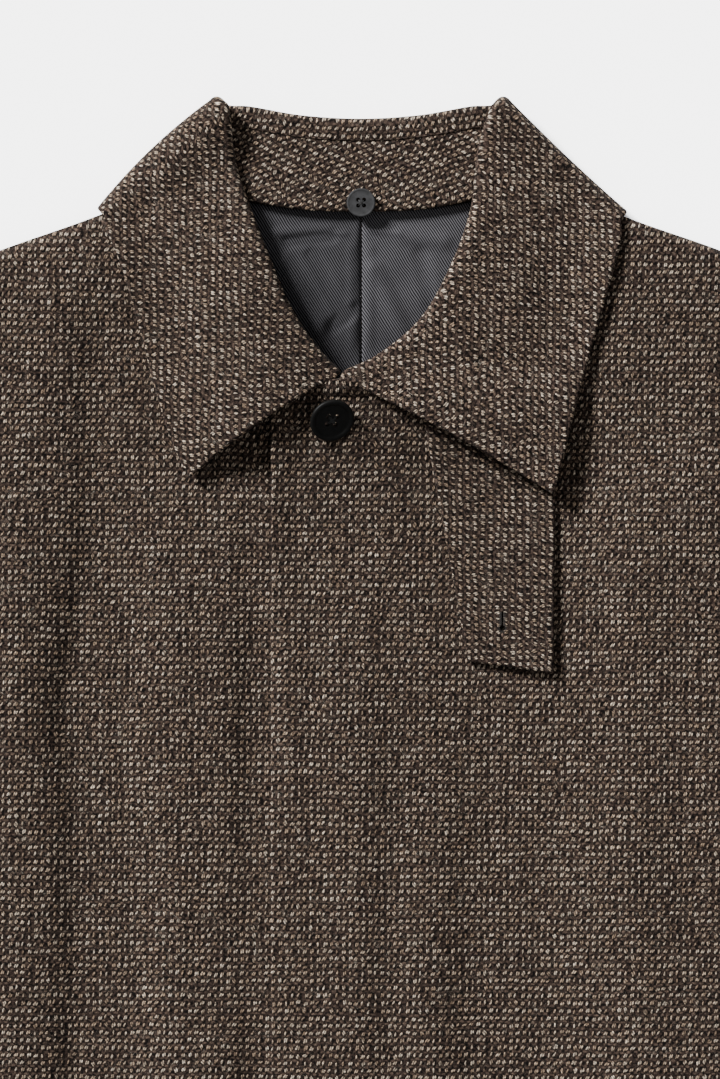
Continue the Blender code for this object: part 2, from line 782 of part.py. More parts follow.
def collar():
    """Upper collar: strip inside the fold, roll, and fall all round."""
    grid = []
    for at in collar_stops():
        section = Section(at)
        strip = section.strip()
        line = [section.band(strip * share) for share in (1.0, 0.5)]
        line += [section.roll(k / 4) for k in range(5)]
        line += [section.fall(share) for share in (0.1, 0.22, 0.36, 0.5, 0.64, 0.78, 0.9, 1.0)]
        grid.append(line)
    return wall_about("collar", grid, lambda point: COLLAR_WALL, TWEED)


def collar_band():
    """Stand of the collar, from the seam under the fold to the neck seam."""
    grid = []
    for at in collar_stops():
        section = Section(at)
        length = (section.neck - section.roll(0.0)).length
        first = section.strip() + BAND_SEAM / length
        last = 1.0 - SEAM / length
        grid.append([section.band(first + (last - first) * k / 4) for k in range(5)])
    return wall_about("collar_band", grid, lambda point: BAND_WALL, TWEED)


def lining_half(name, side):
    """Half of the back lining that shows inside the neck, to the centre seam."""
    upper = []
    lower = []
    for i in range(13):
        t = i / 12
        low_line = []
        high_line = []
        for j in range(9):
            share = j / 8
            x = BACK_SEAM_X + side * (0.2 + (LINING_HALF - 1.0) * share)
            start = neck_back(x) - 2.5 + 4.0 * share
            drop = start + (LINING_END - start) * t
            floor = back_floor(x, drop) + WALL + LAY
            low_line.append(spot(x, drop, floor))
            high_line.append(spot(x, drop, floor + LINING_WALL))
        lower.append(low_line)
        upper.append(high_line)
    return wall_between(name, upper, lower, LINING)


def throat_tab():
    """Throat tab hanging from under the left leaf, with its keyhole buttonhole."""
    a, b, c, d = (Vector(corner) for corner in TAB_CORNERS)
    upper = []
    lower = []
    for i in range(13):
        t = i / 12
        low_line = []
        high_line = []
        for j in range(7):
            s = j / 6
            plan = a.lerp(b, s).lerp(d.lerp(c, s), t)
            bed = left_level(plan.x, plan.y) + left_wall(plan.x) / 2
            lift = TAB_LAY + TAB_LIFT * ease(0.3, 1.0, t) * ease(0.0, 1.0, s)
            low_line.append(spot(plan.x, plan.y, bed + lift))
            high_line.append(spot(plan.x, plan.y, bed + lift + TAB_WALL))
        lower.append(low_line)
        upper.append(high_line)
    tab = wall_between("throat_tab", upper, lower, TWEED)
    x, drop = TAB_EYELET
    hole = round_cutter("tab_eyelet_cutter", spot(x, drop, 10.0), EYELET_RADIUS, 30.0)
    slit = bmesh.new()
    bmesh.ops.create_cube(slit, size=1.0)
    bmesh.ops.scale(slit, vec=(SLIT_WIDTH, SLIT_LENGTH, 30.0), verts=slit.verts)
    bmesh.ops.translate(slit, vec=spot(x + 0.1, drop - SLIT_LENGTH / 2, 10.0), verts=slit.verts)
    for cutter in (hole, add_object("tab_slit_cutter", slit, TWEED)):
        cut_with(tab, cutter)
    return tab


def round_cutter(name, centre, radius, depth, turn=None):
    """Upright round tool that a Boolean takes out of a piece."""
    work = bmesh.new()
    bmesh.ops.create_cone(
        work, cap_ends=True, segments=12, radius1=radius, radius2=radius, depth=depth
    )
    if turn is not None:
        bmesh.ops.transform(work, matrix=turn, verts=work.verts)
    bmesh.ops.translate(work, vec=centre, verts=work.verts)
    return add_object(name, work, TWEED)


def cut_with(piece, cutter):
    """Take a hidden tool out of a piece."""
    cutter.hide_render = True
    cutter.display_type = "WIRE"
    cut = piece.modifiers.new(cutter.name, "BOOLEAN")
    cut.operation = "DIFFERENCE"
    cut.solver = "EXACT"
    cut.object = cutter


def button(name, size, base, tilt, finish):
    """Round button with a raised rim and four holes, its back on the point base."""
    x, drop, diameter, thickness = size
    radius = diameter / 2
    rim = radius * RIM_SHARE
    profile = (
        (0.0, thickness * 0.68),
        (radius - rim * 1.5, thickness * 0.72),
        (radius - rim, thickness),
        (radius - rim * 0.4, thickness),
        (radius, thickness * 0.7),
        (radius * 0.98, thickness * 0.3),
        (radius * 0.8, 0.0),
        (0.0, 0.0),
    )
    work = bmesh.new()
    points = [work.verts.new((r, 0.0, z)) for r, z in profile]
    edges = [work.edges.new(pair) for pair in zip(points, points[1:])]
    bmesh.ops.spin(
        work, geom=points + edges, axis=(0, 0, 1), cent=(0, 0, 0), steps=24, angle=math.tau
    )
    bmesh.ops.remove_doubles(work, verts=work.verts, dist=0.001)
    bmesh.ops.recalc_face_normals(work, faces=work.faces)
    bmesh.ops.transform(work, matrix=tilt, verts=work.verts)
    centre = spot(x, drop, base)
    bmesh.ops.translate(work, vec=centre, verts=work.verts)
    piece = add_object(name, work, finish)
    for index in range(4):
        angle = math.radians(HOLE_TURN + 90 * index)
        ring = diameter * HOLE_RING_SHARE
        offset = tilt @ Vector((ring * math.cos(angle), ring * math.sin(angle), thickness / 2))
        hole = round_cutter(
            f"{name}_hole_{index + 1}_cutter",
            centre + offset,
            diameter * HOLE_RADIUS_SHARE,
            thickness * 3.0,
            tilt,
        )
        cut_with(piece, hole)
    return piece


def top_button():
    """Button at the throat, tipped towards the viewer's lower right."""
    x, drop, diameter, thickness = TOP_BUTTON
    tilt = Matrix.Rotation(math.radians(20), 4, Vector((0.62, 0.78, 0.0)))
    bed = max(
        left_level(x + dx, drop + dd) + left_wall(x + dx) / 2
        - (tilt @ Vector((dx * 0.8, -dd * 0.8, 0.0))).z
        for dx, dd in ((12.5, 0), (-12.5, 0), (0, 12.5), (0, -12.5), (9, 9), (-9, 9), (9, -9), (-9, -9))
    )
    return button("top_button", TOP_BUTTON, bed + 0.35, tilt, HORN)


def neck_button():
    """Button on the neck seam at the centre back, flat on the band."""
    band_top = NECK_BACK_HEIGHT + BAND_WALL / 2
    return button("neck_button", NECK_BUTTON, band_top + 0.35, Matrix.Identity(4), HORN_GREY)


def build():
    """Clear the scene and make every piece of the coat."""
    for old in list(bpy.data.objects):
        bpy.data.objects.remove(old)
    back_panel()
    front_panel("front_right", -1)
    front_panel("front_left", 1)
    sleeve("sleeve_right", -1)
    sleeve("sleeve_left", 1)
    collar()
    collar_band()
    lining_half("lining_right", -1)
    lining_half("lining_left", 1)
    throat_tab()
    top_button()
    neck_button()


build()
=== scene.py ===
"""Looks of a balmacaan coat that lies flat on its back: tweed, satin lining, buttons and sewing.

Sizes are in millimetres until a mesh is made. A place on the coat is x, across it to the viewer's
right, and drop, the distance down from the collar's two high corners. Heights are above the floor.
"""

import logging
import math
from dataclasses import dataclass, field
from enum import Enum
from typing import Callable, Sequence

import bmesh
import bpy
import numpy as np
from mathutils import Matrix, Vector, noise


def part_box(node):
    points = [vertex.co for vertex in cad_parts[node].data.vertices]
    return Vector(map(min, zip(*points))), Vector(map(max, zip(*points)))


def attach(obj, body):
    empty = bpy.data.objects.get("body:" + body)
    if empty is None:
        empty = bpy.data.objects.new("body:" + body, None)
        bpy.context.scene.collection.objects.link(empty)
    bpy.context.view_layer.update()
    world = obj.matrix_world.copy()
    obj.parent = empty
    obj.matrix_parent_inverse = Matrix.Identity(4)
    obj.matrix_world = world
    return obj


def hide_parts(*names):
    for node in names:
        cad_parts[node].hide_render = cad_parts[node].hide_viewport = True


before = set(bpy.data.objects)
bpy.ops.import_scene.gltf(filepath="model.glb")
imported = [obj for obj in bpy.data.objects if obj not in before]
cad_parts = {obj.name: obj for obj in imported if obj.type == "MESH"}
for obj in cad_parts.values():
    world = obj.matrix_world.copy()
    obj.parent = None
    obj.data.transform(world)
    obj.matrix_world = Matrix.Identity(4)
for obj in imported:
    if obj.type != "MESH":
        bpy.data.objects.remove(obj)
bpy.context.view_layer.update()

LOG = logging.getLogger("coat")

Row = Sequence[float]
Grid = list[list[Vector]]
Corner = tuple[float, float]

# Driving sizes, as in the solids
METRES = 0.001
LENGTH = 1100.0
WALL = 2.0
FLY_WALL = 3.0
COLLAR_WALL = 3.0
BAND_WALL = 2.4
LINING_WALL = 1.0
TAB_WALL = 2.6
SEAM = 0.4
ARMHOLE_GAP = 0.35
ARMHOLE_END = 300.0
LAY = 0.4
EDGE_TURN = 6.0
EDGE_REACH = 34.0
TURN_STARTS_X = 112.0
TURN_STARTS_DROP = 380.0
NECK_HALF = 95.0
NECK_BACK_DROP = 64.4
NECK_SIDE_DROP = 45.0
NECK_BACK_HEIGHT = 10.8
NECK_SEAM_ROOM = 2.4
FLY_EDGE_X = -49.4
FLY_STITCH_X = 17.0
FRONT_TOP_DROP = 161.0
FOLD_DIP = 12.2
FOLD_HALF = 82.2
FALL_BACK_DROP = 98.0
FALL_CORNER = (147.0, 62.0)
STRIP_WIDTH = 8.0
THROAT_RISE = 3.2
LINING_HALF = 86.0
LINING_END = 188.0
BACK_SEAM_X = 0.8
HEM_RISE = 8.0
SLEEVE_HEIGHT = 6.6
FALL_BED = COLLAR_WALL + 1.0
TAB_LENGTH = 144.0
TAB_WIDTH = 62.0
LEAF_ROLL = 3.6
BACK_ROLL = 2.9
STITCH_INSET = 7.0

# Half outline of the body: x, drop
SHOULDER = ((95, 45), (147, 67), (200, 86), (265, 112))
ARMHOLE = ((265, 112), (256, 170), (258, 232), (270, 294), (285, 352))
SIDE = ((285, 352), (294, 560), (310, 820), (326, 1092))
SLEEVE_OUTER = ((266, 112), (338, 146), (410, 226), (464, 380), (528, 668))
SLEEVE_INNER = ((290, 352.6), (324, 425), (354, 560), (392, 722))

# Collar from each front end to the neck's side
# Columns: roll x, roll drop, roll top, edge x, edge drop, edge lift, neck x, neck drop, bow
RIGHT_LEAF = (
    (-10.0, 152.8, 21.8, -94.4, 211.7, 3.0, -15.0, 158.0, 4.0),
    (-21.7, 141.1, 23.6, -103.5, 194.0, 2.0, -35.0, 149.5, 2.0),
    (-37.0, 119.0, 25.0, -113.5, 163.0, 1.0, -59.0, 127.0, 0.0),
    (-50.0, 89.0, 25.5, -124.5, 121.0, 0.5, -81.0, 99.0, 0.0),
    (-62.2, 57.2, 20.6, -134.5, 88.0, 0.5, -91.5, 74.0, 0.0),
    (-69.3, 35.0, 17.0, -141.0, 74.0, 0.5, -93.0, 60.0, 0.0),
)
LEFT_LEAF = (
    (-8.3, 152.8, 21.6, 107.2, 221.1, 3.0, -13.0, 158.5, 3.0),
    (11.0, 142.5, 22.2, 113.5, 197.0, 2.5, 15.0, 154.5, 1.5),
    (34.0, 122.5, 22.0, 120.5, 169.0, 1.5, 45.0, 139.0, 0.0),
    (50.5, 93.0, 21.5, 130.0, 134.0, 1.0, 73.0, 111.0, 0.0),
    (61.5, 61.0, 20.8, 140.5, 97.0, 0.5, 90.5, 77.0, 0.0),
    (66.0, 27.0, 19.0, 145.0, 78.0, 0.5, 92.5, 58.0, 0.0),
)
BACK_SHARES = (-0.75, -0.4, 0.0, 0.4, 0.75)

# Turn of the collar over each shoulder: x, drop, radius of the turn, middle height
ROLL_TURN = (78.0, 2.0, 5.6, 10.1)
NECK_TURN = (89.5, 45.0, 2.5, 10.0)
EDGE_TURN_RIGHT = (145.0, 63.1, 4.4, 6.0)
EDGE_TURN_LEFT = (147.8, 65.0, 4.4, 6.0)
TURN_ANGLES = (90, 45, 0, -45, -90)
CREASE_BOW = {-1: 3.0, 1: -1.0}

# Each leaf, by side: how far its outer edge stands off by the shoulder and in front,
# and how far its front edge arches up
EDGE_RAISE = {-1: (0.4, 0.4), 1: (0.5, 1.9)}
LEAF_ARCH = {-1: 6.8, 1: 3.8}

# Soft folds of both fronts, along the coat
# Columns: x at the top, x at the hem, first drop, last drop, half width, rise
FOLDS = (
    (-146, -170, 70, 1160, 17, -1.7),
    (-190, -204, 130, 900, 24, 1.4),
    (-62, -60, 180, 1160, 12, -1.1),
    (-106, -118, 210, 1000, 24, 0.9),
    (-262, -268, 420, 1160, 24, -1.3),
    (14, 12, 240, 1160, 9, -0.5),
    (56, 60, 380, 980, 16, -0.7),
    (150, 160, 170, 760, 26, 1.3),
    (104, 98, 360, 1160, 22, -1.0),
    (204, 222, 100, 820, 20, -1.2),
    (262, 270, 460, 1160, 26, 1.2),
)

# Wider waves of the worn cloth, above or below those folds, with the same columns
WAVES = (
    (-132, -146, 250, 1200, 46, -4.6),
    (-98, -260, 90, 430, 42, -4.0),
    (-172, -206, 60, 1200, 38, 2.4),
    (-92, -92, 250, 1200, 30, 0.9),
    (-54, -52, 190, 1200, 24, -2.6),
    (-41, -41, 186, 1200, 10, 1.1),
    (-4, -6, 230, 1200, 24, 1.2),
    (19, 19, 190, 1200, 16, -0.8),
    (46, 44, 330, 1200, 30, 1.9),
    (84, 78, 330, 1200, 38, -2.2),
    (162, 160, 180, 1200, 66, 3.2),
    (212, 208, 120, 1100, 56, 4.2),
)

# Sleeve folds, from share of length and width to another: start, end, half width, rise
SLEEVE_FOLDS = (
    ((0.10, 0.75), (0.52, 0.55), 0.10, -1.4),
    ((0.30, 0.95), (0.46, 0.30), 0.07, -1.3),
    ((0.44, 1.00), (0.60, 0.25), 0.06, -1.2),
    ((0.62, 0.20), (0.98, 0.35), 0.11, -1.1),
)

# Puckers of the lining, above its flat lay
# Columns: first x, first drop, last x, last drop, half width, rise
LINING_PUCKERS = (
    (-46, 75, -18, 73, 5, 1.5),
    (-40, 81, -16, 78, 5, -1.6),
    (-16, 76, -8, 76, 2.5, 1.0),
    (6, 74, 22, 76, 3, 1.0),
    (-44, 92, -22, 128, 9, 2.0),
    (-26, 88, -8, 122, 6, -1.6),
    (-16, 128, -2, 118, 6, -1.4),
    (24, 76, 46, 80, 8, 1.2),
    (8, 96, 26, 136, 8, 1.6),
    (34, 88, 40, 116, 7, -1.0),
    (-5, 84, -4, 180, 4, 0.6),
    (6, 84, 5, 180, 4, 0.5),
)

# Sewn grooves down the left front: x, width, depth
FLY_GROOVES = ((-34.4, 1.1, 0.30), (FLY_STITCH_X, 1.1, 0.45), (57.0, 2.0, 0.18))

# Throat tab: x and drop of its corners, and its buttonhole
TAB_CORNERS = ((34.0, 172.0), (109.0, 172.0), (107.2, 320.0), (60.0, 313.5))
TAB_LAY = 0.8
TAB_LIFT = 1.4
TAB_EYELET = (78.9, 295.0)
EYELET_RADIUS = 1.5
SLIT_LENGTH = 9.0
SLIT_WIDTH = 0.9
SLIT_SHIFT = 0.1

# Distances from an edge at which cloth is sampled, for its round rim and its sewn groove
EDGE_STEPS = (0.0, 0.08, 0.25, 0.55, 0.95, 1.5, 2.4, 3.6, 4.8, 5.7, 6.4, 7.0, 7.6, 8.3, 9.2, 10.8)
SEWN_STEP = 7.0
RIM_STEPS = (0.0, 0.08, 0.25, 0.55, 0.95, 1.6)

# Camera and light
PHOTO_SCALE = 1.8
PHOTO_SIZE = (720, 1079)
PHOTO_TOP_PX = 97.0
CAMERA_HEIGHT = 6.0


class Slot(Enum):
    """Material slots of the record."""

    TWEED = "tweed"
    LINING = "lining"
    BLACK = "button_black"
    GREY = "button_grey"


def spot(x: float, drop: float, height: float = 0.0) -> Vector:
    """Point of the coat, y running up it from the collar's high corners."""
    return Vector((x, -drop, height))


def ease(low: float, high: float, value: float) -> float:
    """Smooth step from 0 at low to 1 at high."""
    share = min(max((value - low) / (high - low), 0.0), 1.0)
    return share * share * (3.0 - 2.0 * share)


def bell(distance: float, half_width: float) -> float:
    """Smooth bump, 1 at no distance and 0 from the half width outwards."""
    return 1.0 - ease(0.0, half_width, abs(distance))


def stops_of(rows: Sequence[Row]) -> list[float]:
    """Running distance along the rows, from 0 to 1."""
    stops = [0.0]
    for before, after in zip(rows, rows[1:]):
        stops.append(stops[-1] + max(math.dist(before, after), 1e-6))
    return [stop / stops[-1] for stop in stops]


def smooth_row(rows: Sequence[Row], stops: Sequence[float], at: float) -> list[float]:
    """Row of a smooth curve that passes through all the rows at their stops.

    Args:
        rows: Rows of equal length.
        stops: Place of each row along the curve, rising.
        at: Place that is asked for, kept inside the stops.

    Returns:
        The values of the row at that place.
    """
    last = len(rows) - 1
    at = min(max(at, stops[0]), stops[-1])
    first = 0
    while first < last - 1 and at > stops[first + 1]:
        first += 1

    def slope(index: int) -> list[float]:
        """Slope of the curve at one of its rows."""
        low = max(index - 1, 0)
        high = min(index + 1, last)
        gap = stops[high] - stops[low]
        return [(b - a) / gap for a, b in zip(rows[low], rows[high])]

    span = stops[first + 1] - stops[first]
    t = (at - stops[first]) / span
    weights = (
        2 * t**3 - 3 * t**2 + 1,
        (t**3 - 2 * t**2 + t) * span,
        3 * t**2 - 2 * t**3,
        (t**3 - t**2) * span,
    )
    parts = (rows[first], slope(first), rows[first + 1], slope(first + 1))
    return [sum(w * part[i] for w, part in zip(weights, parts)) for i in range(len(rows[0]))]


def curve(rows: Sequence[Row], share: float) -> list[float]:
    """Point of a smooth curve through a table's rows, at a share of its length."""
    return smooth_row(rows, stops_of(rows), share)


def height_at(rows: Sequence[Row], x: float) -> float:
    """Drop of a table's smooth curve at x, the rows being in order of x."""
    return smooth_row([(row[1],) for row in rows], [row[0] for row in rows], x)[0]


def width_at(rows: Sequence[Row], drop: float) -> float:
    """Half width of a table's smooth curve at a drop, the rows being in order of drop."""
    return smooth_row([(row[0],) for row in rows], [row[1] for row in rows], drop)[0]


def ripple(x: float, drop: float, size: float, seed: float) -> float:
    """Slow random wave over the cloth, from about -0.5 to 0.5."""
    return noise.noise(Vector((x / size, drop / size, seed)))


class Bed:
    """How the layers of the coat lie on each other, as heights over the plan."""

    # Where something fades in or out, as a first and a last distance
    FALL_SLOPE = (9.0, 52.0)
    SWELL_SLOPE = (9.0, 150.0)
    FREE_DROPS = (190.0, 330.0)
    FREE_WIDTHS = (108.0, 152.0)
    FREE_ARMHOLE = (4.0, 60.0)
    FREE_SIDE = (0.0, 70.0)
    THROAT_LEFT = (-120.0, FLY_EDGE_X)
    THROAT_RIGHT = (-10.0, 60.0)
    THROAT_DOWN = (166.0, 250.0)
    CURL_ACROSS = (FLY_EDGE_X, FLY_EDGE_X + 17.0)
    CURL_DOWN = (200.0, 380.0)
    FLY_ACROSS = (FLY_STITCH_X + 2.0, FLY_STITCH_X + 50.0)
    FLY_WALL_ACROSS = (FLY_STITCH_X - 4.0, FLY_STITCH_X + 14.0)
    LINING_ACROSS = (LINING_HALF, LINING_HALF + 18.0)
    LINING_DOWN = (LINING_END, LINING_END + 20.0)
    TAB_LEFT = (14.0, 33.0)
    TAB_RIGHT = (111.0, 128.0)
    TAB_TOP = (148.0, 168.0)
    TAB_FOOT = (322.0, 340.0)
    # How far the cloth stands up
    LOFT = 1.9
    LOFT_RANGE = (0.2, 3.6)
    WAVE_LOFT = 2.6
    LEAST_RISE = 0.15
    EDGE_LOFT = 0.3
    RIM_LAY = 0.3
    NECK_LIFT = 2.4
    NECK_REACH = 36.0
    EDGE_CURL = 0.7
    THROAT_CURL = 2.3
    # Unevenness: depth, squeeze along the coat, size, seed
    CRUMPLES = ((0.55, 0.6, 42.0, 3.1), (0.18, 1.0, 13.0, 8.7))

    def __init__(self) -> None:
        """Work out the neck seam that the fronts rise towards."""
        self.neck_points = [
            curve([(row[6], row[7]) for row in leaf], k / 10.0)
            for leaf in (RIGHT_LEAF, LEFT_LEAF)
            for k in range(11)
        ]

    @staticmethod
    def neck_back(x: float) -> float:
        """Drop of the back neck seam."""
        share = min(abs(x) / NECK_HALF, 1.0)
        return NECK_BACK_DROP - (NECK_BACK_DROP - NECK_SIDE_DROP) * share**2.6

    @staticmethod
    def fold_back(x: float) -> float:
        """Drop of the collar's fold behind the neck."""
        return FOLD_DIP * (1.0 - (x / FOLD_HALF) ** 2)

    @staticmethod
    def fall_reach(x: float) -> float:
        """Drop of the collar's outer edge under the back."""
        corner_x, corner_drop = FALL_CORNER
        return FALL_BACK_DROP - (FALL_BACK_DROP - corner_drop) * (x / corner_x) ** 2

    def back_floor(self, x: float, drop: float) -> float:
        """Height of the back's underside: flat, and raised where the collar lies under it."""
        return FALL_BED * (1.0 - ease(*self.FALL_SLOPE, drop - self.fall_reach(x)))

    def lining_share(self, x: float, drop: float) -> float:
        """1 where the lining lies, fading to 0 past its edges."""
        return (1.0 - ease(*self.LINING_ACROSS, abs(x))) * (1.0 - ease(*self.LINING_DOWN, drop))

    def under_front(self, x: float, drop: float) -> float:
        """Height of what the fronts lie on."""
        lining = (LINING_WALL + LAY) * self.lining_share(x, drop)
        swell = FALL_BED * (1.0 - ease(*self.SWELL_SLOPE, drop - self.fall_reach(x)))
        return swell + WALL + lining

    @staticmethod
    def folds(table: Sequence[Row], x: float, drop: float) -> float:
        """Rise of all the folds of a table."""
        rise = 0.0
        for x_top, x_hem, first, last, half_width, height in table:
            middle = x_top + (x_hem - x_top) * drop / LENGTH
            if abs(x - middle) < half_width:
                fade = ease(first, first + 90.0, drop) * (1.0 - ease(last - 120.0, last, drop))
                rise += height * fade * bell(x - middle, half_width)
        return rise

    def fold_rise(self, x: float, drop: float) -> float:
        """Loft of the fronts over the back, with their soft folds and waves."""
        low, high = self.LOFT_RANGE
        rise = min(max(self.LOFT + self.folds(FOLDS, x, drop), low), high)
        free = max(ease(*self.FREE_DROPS, drop), ease(*self.FREE_WIDTHS, abs(x)))
        if drop < SIDE[0][1]:
            armhole = width_at(ARMHOLE, max(drop, ARMHOLE[0][1]))
            free *= ease(*self.FREE_ARMHOLE, armhole - abs(x))
        elif drop > SIDE[0][1]:
            free *= ease(*self.FREE_SIDE, self.from_side(x, drop))
        sway = 1.0 + 1.1 * ripple(x, drop * 0.45, 60.0, 21.0)
        rise += free * (self.WAVE_LOFT + sway * self.folds(WAVES, x, drop))
        return max(rise, self.LEAST_RISE)

    @staticmethod
    def quarter(distance: float) -> float:
        """Height share of an edge that turns down in a quarter round."""
        share = 1.0 - min(max(distance / EDGE_TURN, 0.0), 1.0)
        return math.sqrt(max(1.0 - share * share, 0.0))

    def neck_lift(self, x: float, drop: float) -> float:
        """Rise of the fronts towards the collar's seam."""
        if drop > 200.0 or abs(x) > 140.0:
            return 0.0
        near = min(math.hypot(x - px, drop - pd) for px, pd in self.neck_points)
        return self.NECK_LIFT * (1.0 - ease(0.0, self.NECK_REACH, near))

    @staticmethod
    def from_shoulder(x: float, drop: float) -> float:
        """Distance down from the shoulder edge."""
        half = abs(x)
        return drop - height_at(SHOULDER, half) if half < SHOULDER[-1][0] else EDGE_REACH

    @staticmethod
    def from_side(x: float, drop: float) -> float:
        """Distance in from the side seam."""
        return width_at(SIDE, drop) - abs(x) if drop > SIDE[0][1] else EDGE_REACH

    def crumple(self, x: float, drop: float) -> float:
        """Small unevenness of cloth that has been worn and pressed."""
        return sum(
            depth * (ripple(x, drop * squeeze, size, seed) + 0.5)
            for depth, squeeze, size, seed in self.CRUMPLES
        )

    def open_level(self, x: float, drop: float) -> float:
        """Middle height of the lower front as it lies, before its edges turn down."""
        shoulder = self.from_shoulder(x, drop) if abs(x) > TURN_STARTS_X else EDGE_REACH
        side = self.from_side(x, drop) if drop > TURN_STARTS_DROP else EDGE_REACH
        inward = min(shoulder, side)
        kept = self.EDGE_LOFT + (1.0 - self.EDGE_LOFT) * ease(0.0, EDGE_REACH, inward)
        loft = self.fold_rise(x, drop) * kept
        level = self.under_front(x, drop) + LAY + WALL / 2 + loft + self.neck_lift(x, drop)
        return level + self.crumple(x, drop)

    def front_level(self, x: float, drop: float) -> float:
        """Middle height of the lower front, turned down at the shoulder and the side."""
        rim = self.back_floor(x, drop) + self.RIM_LAY
        by_shoulder = ease(NECK_HALF, TURN_STARTS_X, abs(x))
        turned = 1.0 - by_shoulder * (1.0 - self.quarter(self.from_shoulder(x, drop)))
        by_side = ease(SIDE[0][1], TURN_STARTS_DROP, drop)
        turned *= 1.0 - by_side * (1.0 - self.quarter(self.from_side(x, drop)))
        return rim + (self.open_level(x, drop) - rim) * turned

    def fly_share(self, x: float) -> float:
        """1 where the left front lies on the right one, falling to 0 beyond the fly."""
        return 1.0 - ease(*self.FLY_ACROSS, x)

    def left_wall(self, x: float) -> float:
        """Wall of the left front, thicker over the fly."""
        return WALL + (FLY_WALL - WALL) * (1.0 - ease(*self.FLY_WALL_ACROSS, x))

    def lap_rise(self, x: float, drop: float) -> float:
        """Rise of the left front over the right one and where it is buttoned at the throat."""
        lap = self.fly_share(x) * (WALL / 2 + LAY + self.left_wall(x) / 2)
        across = ease(*self.THROAT_LEFT, x) * (1.0 - ease(*self.THROAT_RIGHT, x))
        return lap + THROAT_RISE * (1.0 - ease(*self.THROAT_DOWN, drop)) * across

    def edge_rise(self, x: float, drop: float) -> float:
        """Rise of the fly's free edge, most at the throat."""
        curl = self.EDGE_CURL + self.THROAT_CURL * (1.0 - ease(*self.CURL_DOWN, drop))
        return curl * (1.0 - ease(*self.CURL_ACROSS, x))

    def left_level(self, x: float, drop: float) -> float:
        """Middle height of the left front, which laps over the right one."""
        return self.front_level(x, drop) + self.lap_rise(x, drop) + self.edge_rise(x, drop)

    def tab_share(self, x: float, drop: float) -> float:
        """1 over the throat tab, fading out round it."""
        across = ease(*self.TAB_LEFT, x) * (1.0 - ease(*self.TAB_RIGHT, x))
        return across * ease(*self.TAB_TOP, drop) * (1.0 - ease(*self.TAB_FOOT, drop))

    def leaf_bed(self, x: float, drop: float, side: int) -> float:
        """Height of what a collar leaf lies on, smoothed over steps."""
        level = self.open_level(x, drop)
        if side < 0:
            over_fly = ease(-86.0, FLY_EDGE_X, x) * ease(128.0, 158.0, drop)
            return level + WALL / 2 + over_fly * (self.lap_rise(x, drop) + FLY_WALL - WALL)
        top = level + self.lap_rise(x, drop) + self.left_wall(x) / 2
        return top + self.tab_share(x, drop) * (TAB_WALL + TAB_LAY + LAY)


BED = Bed()


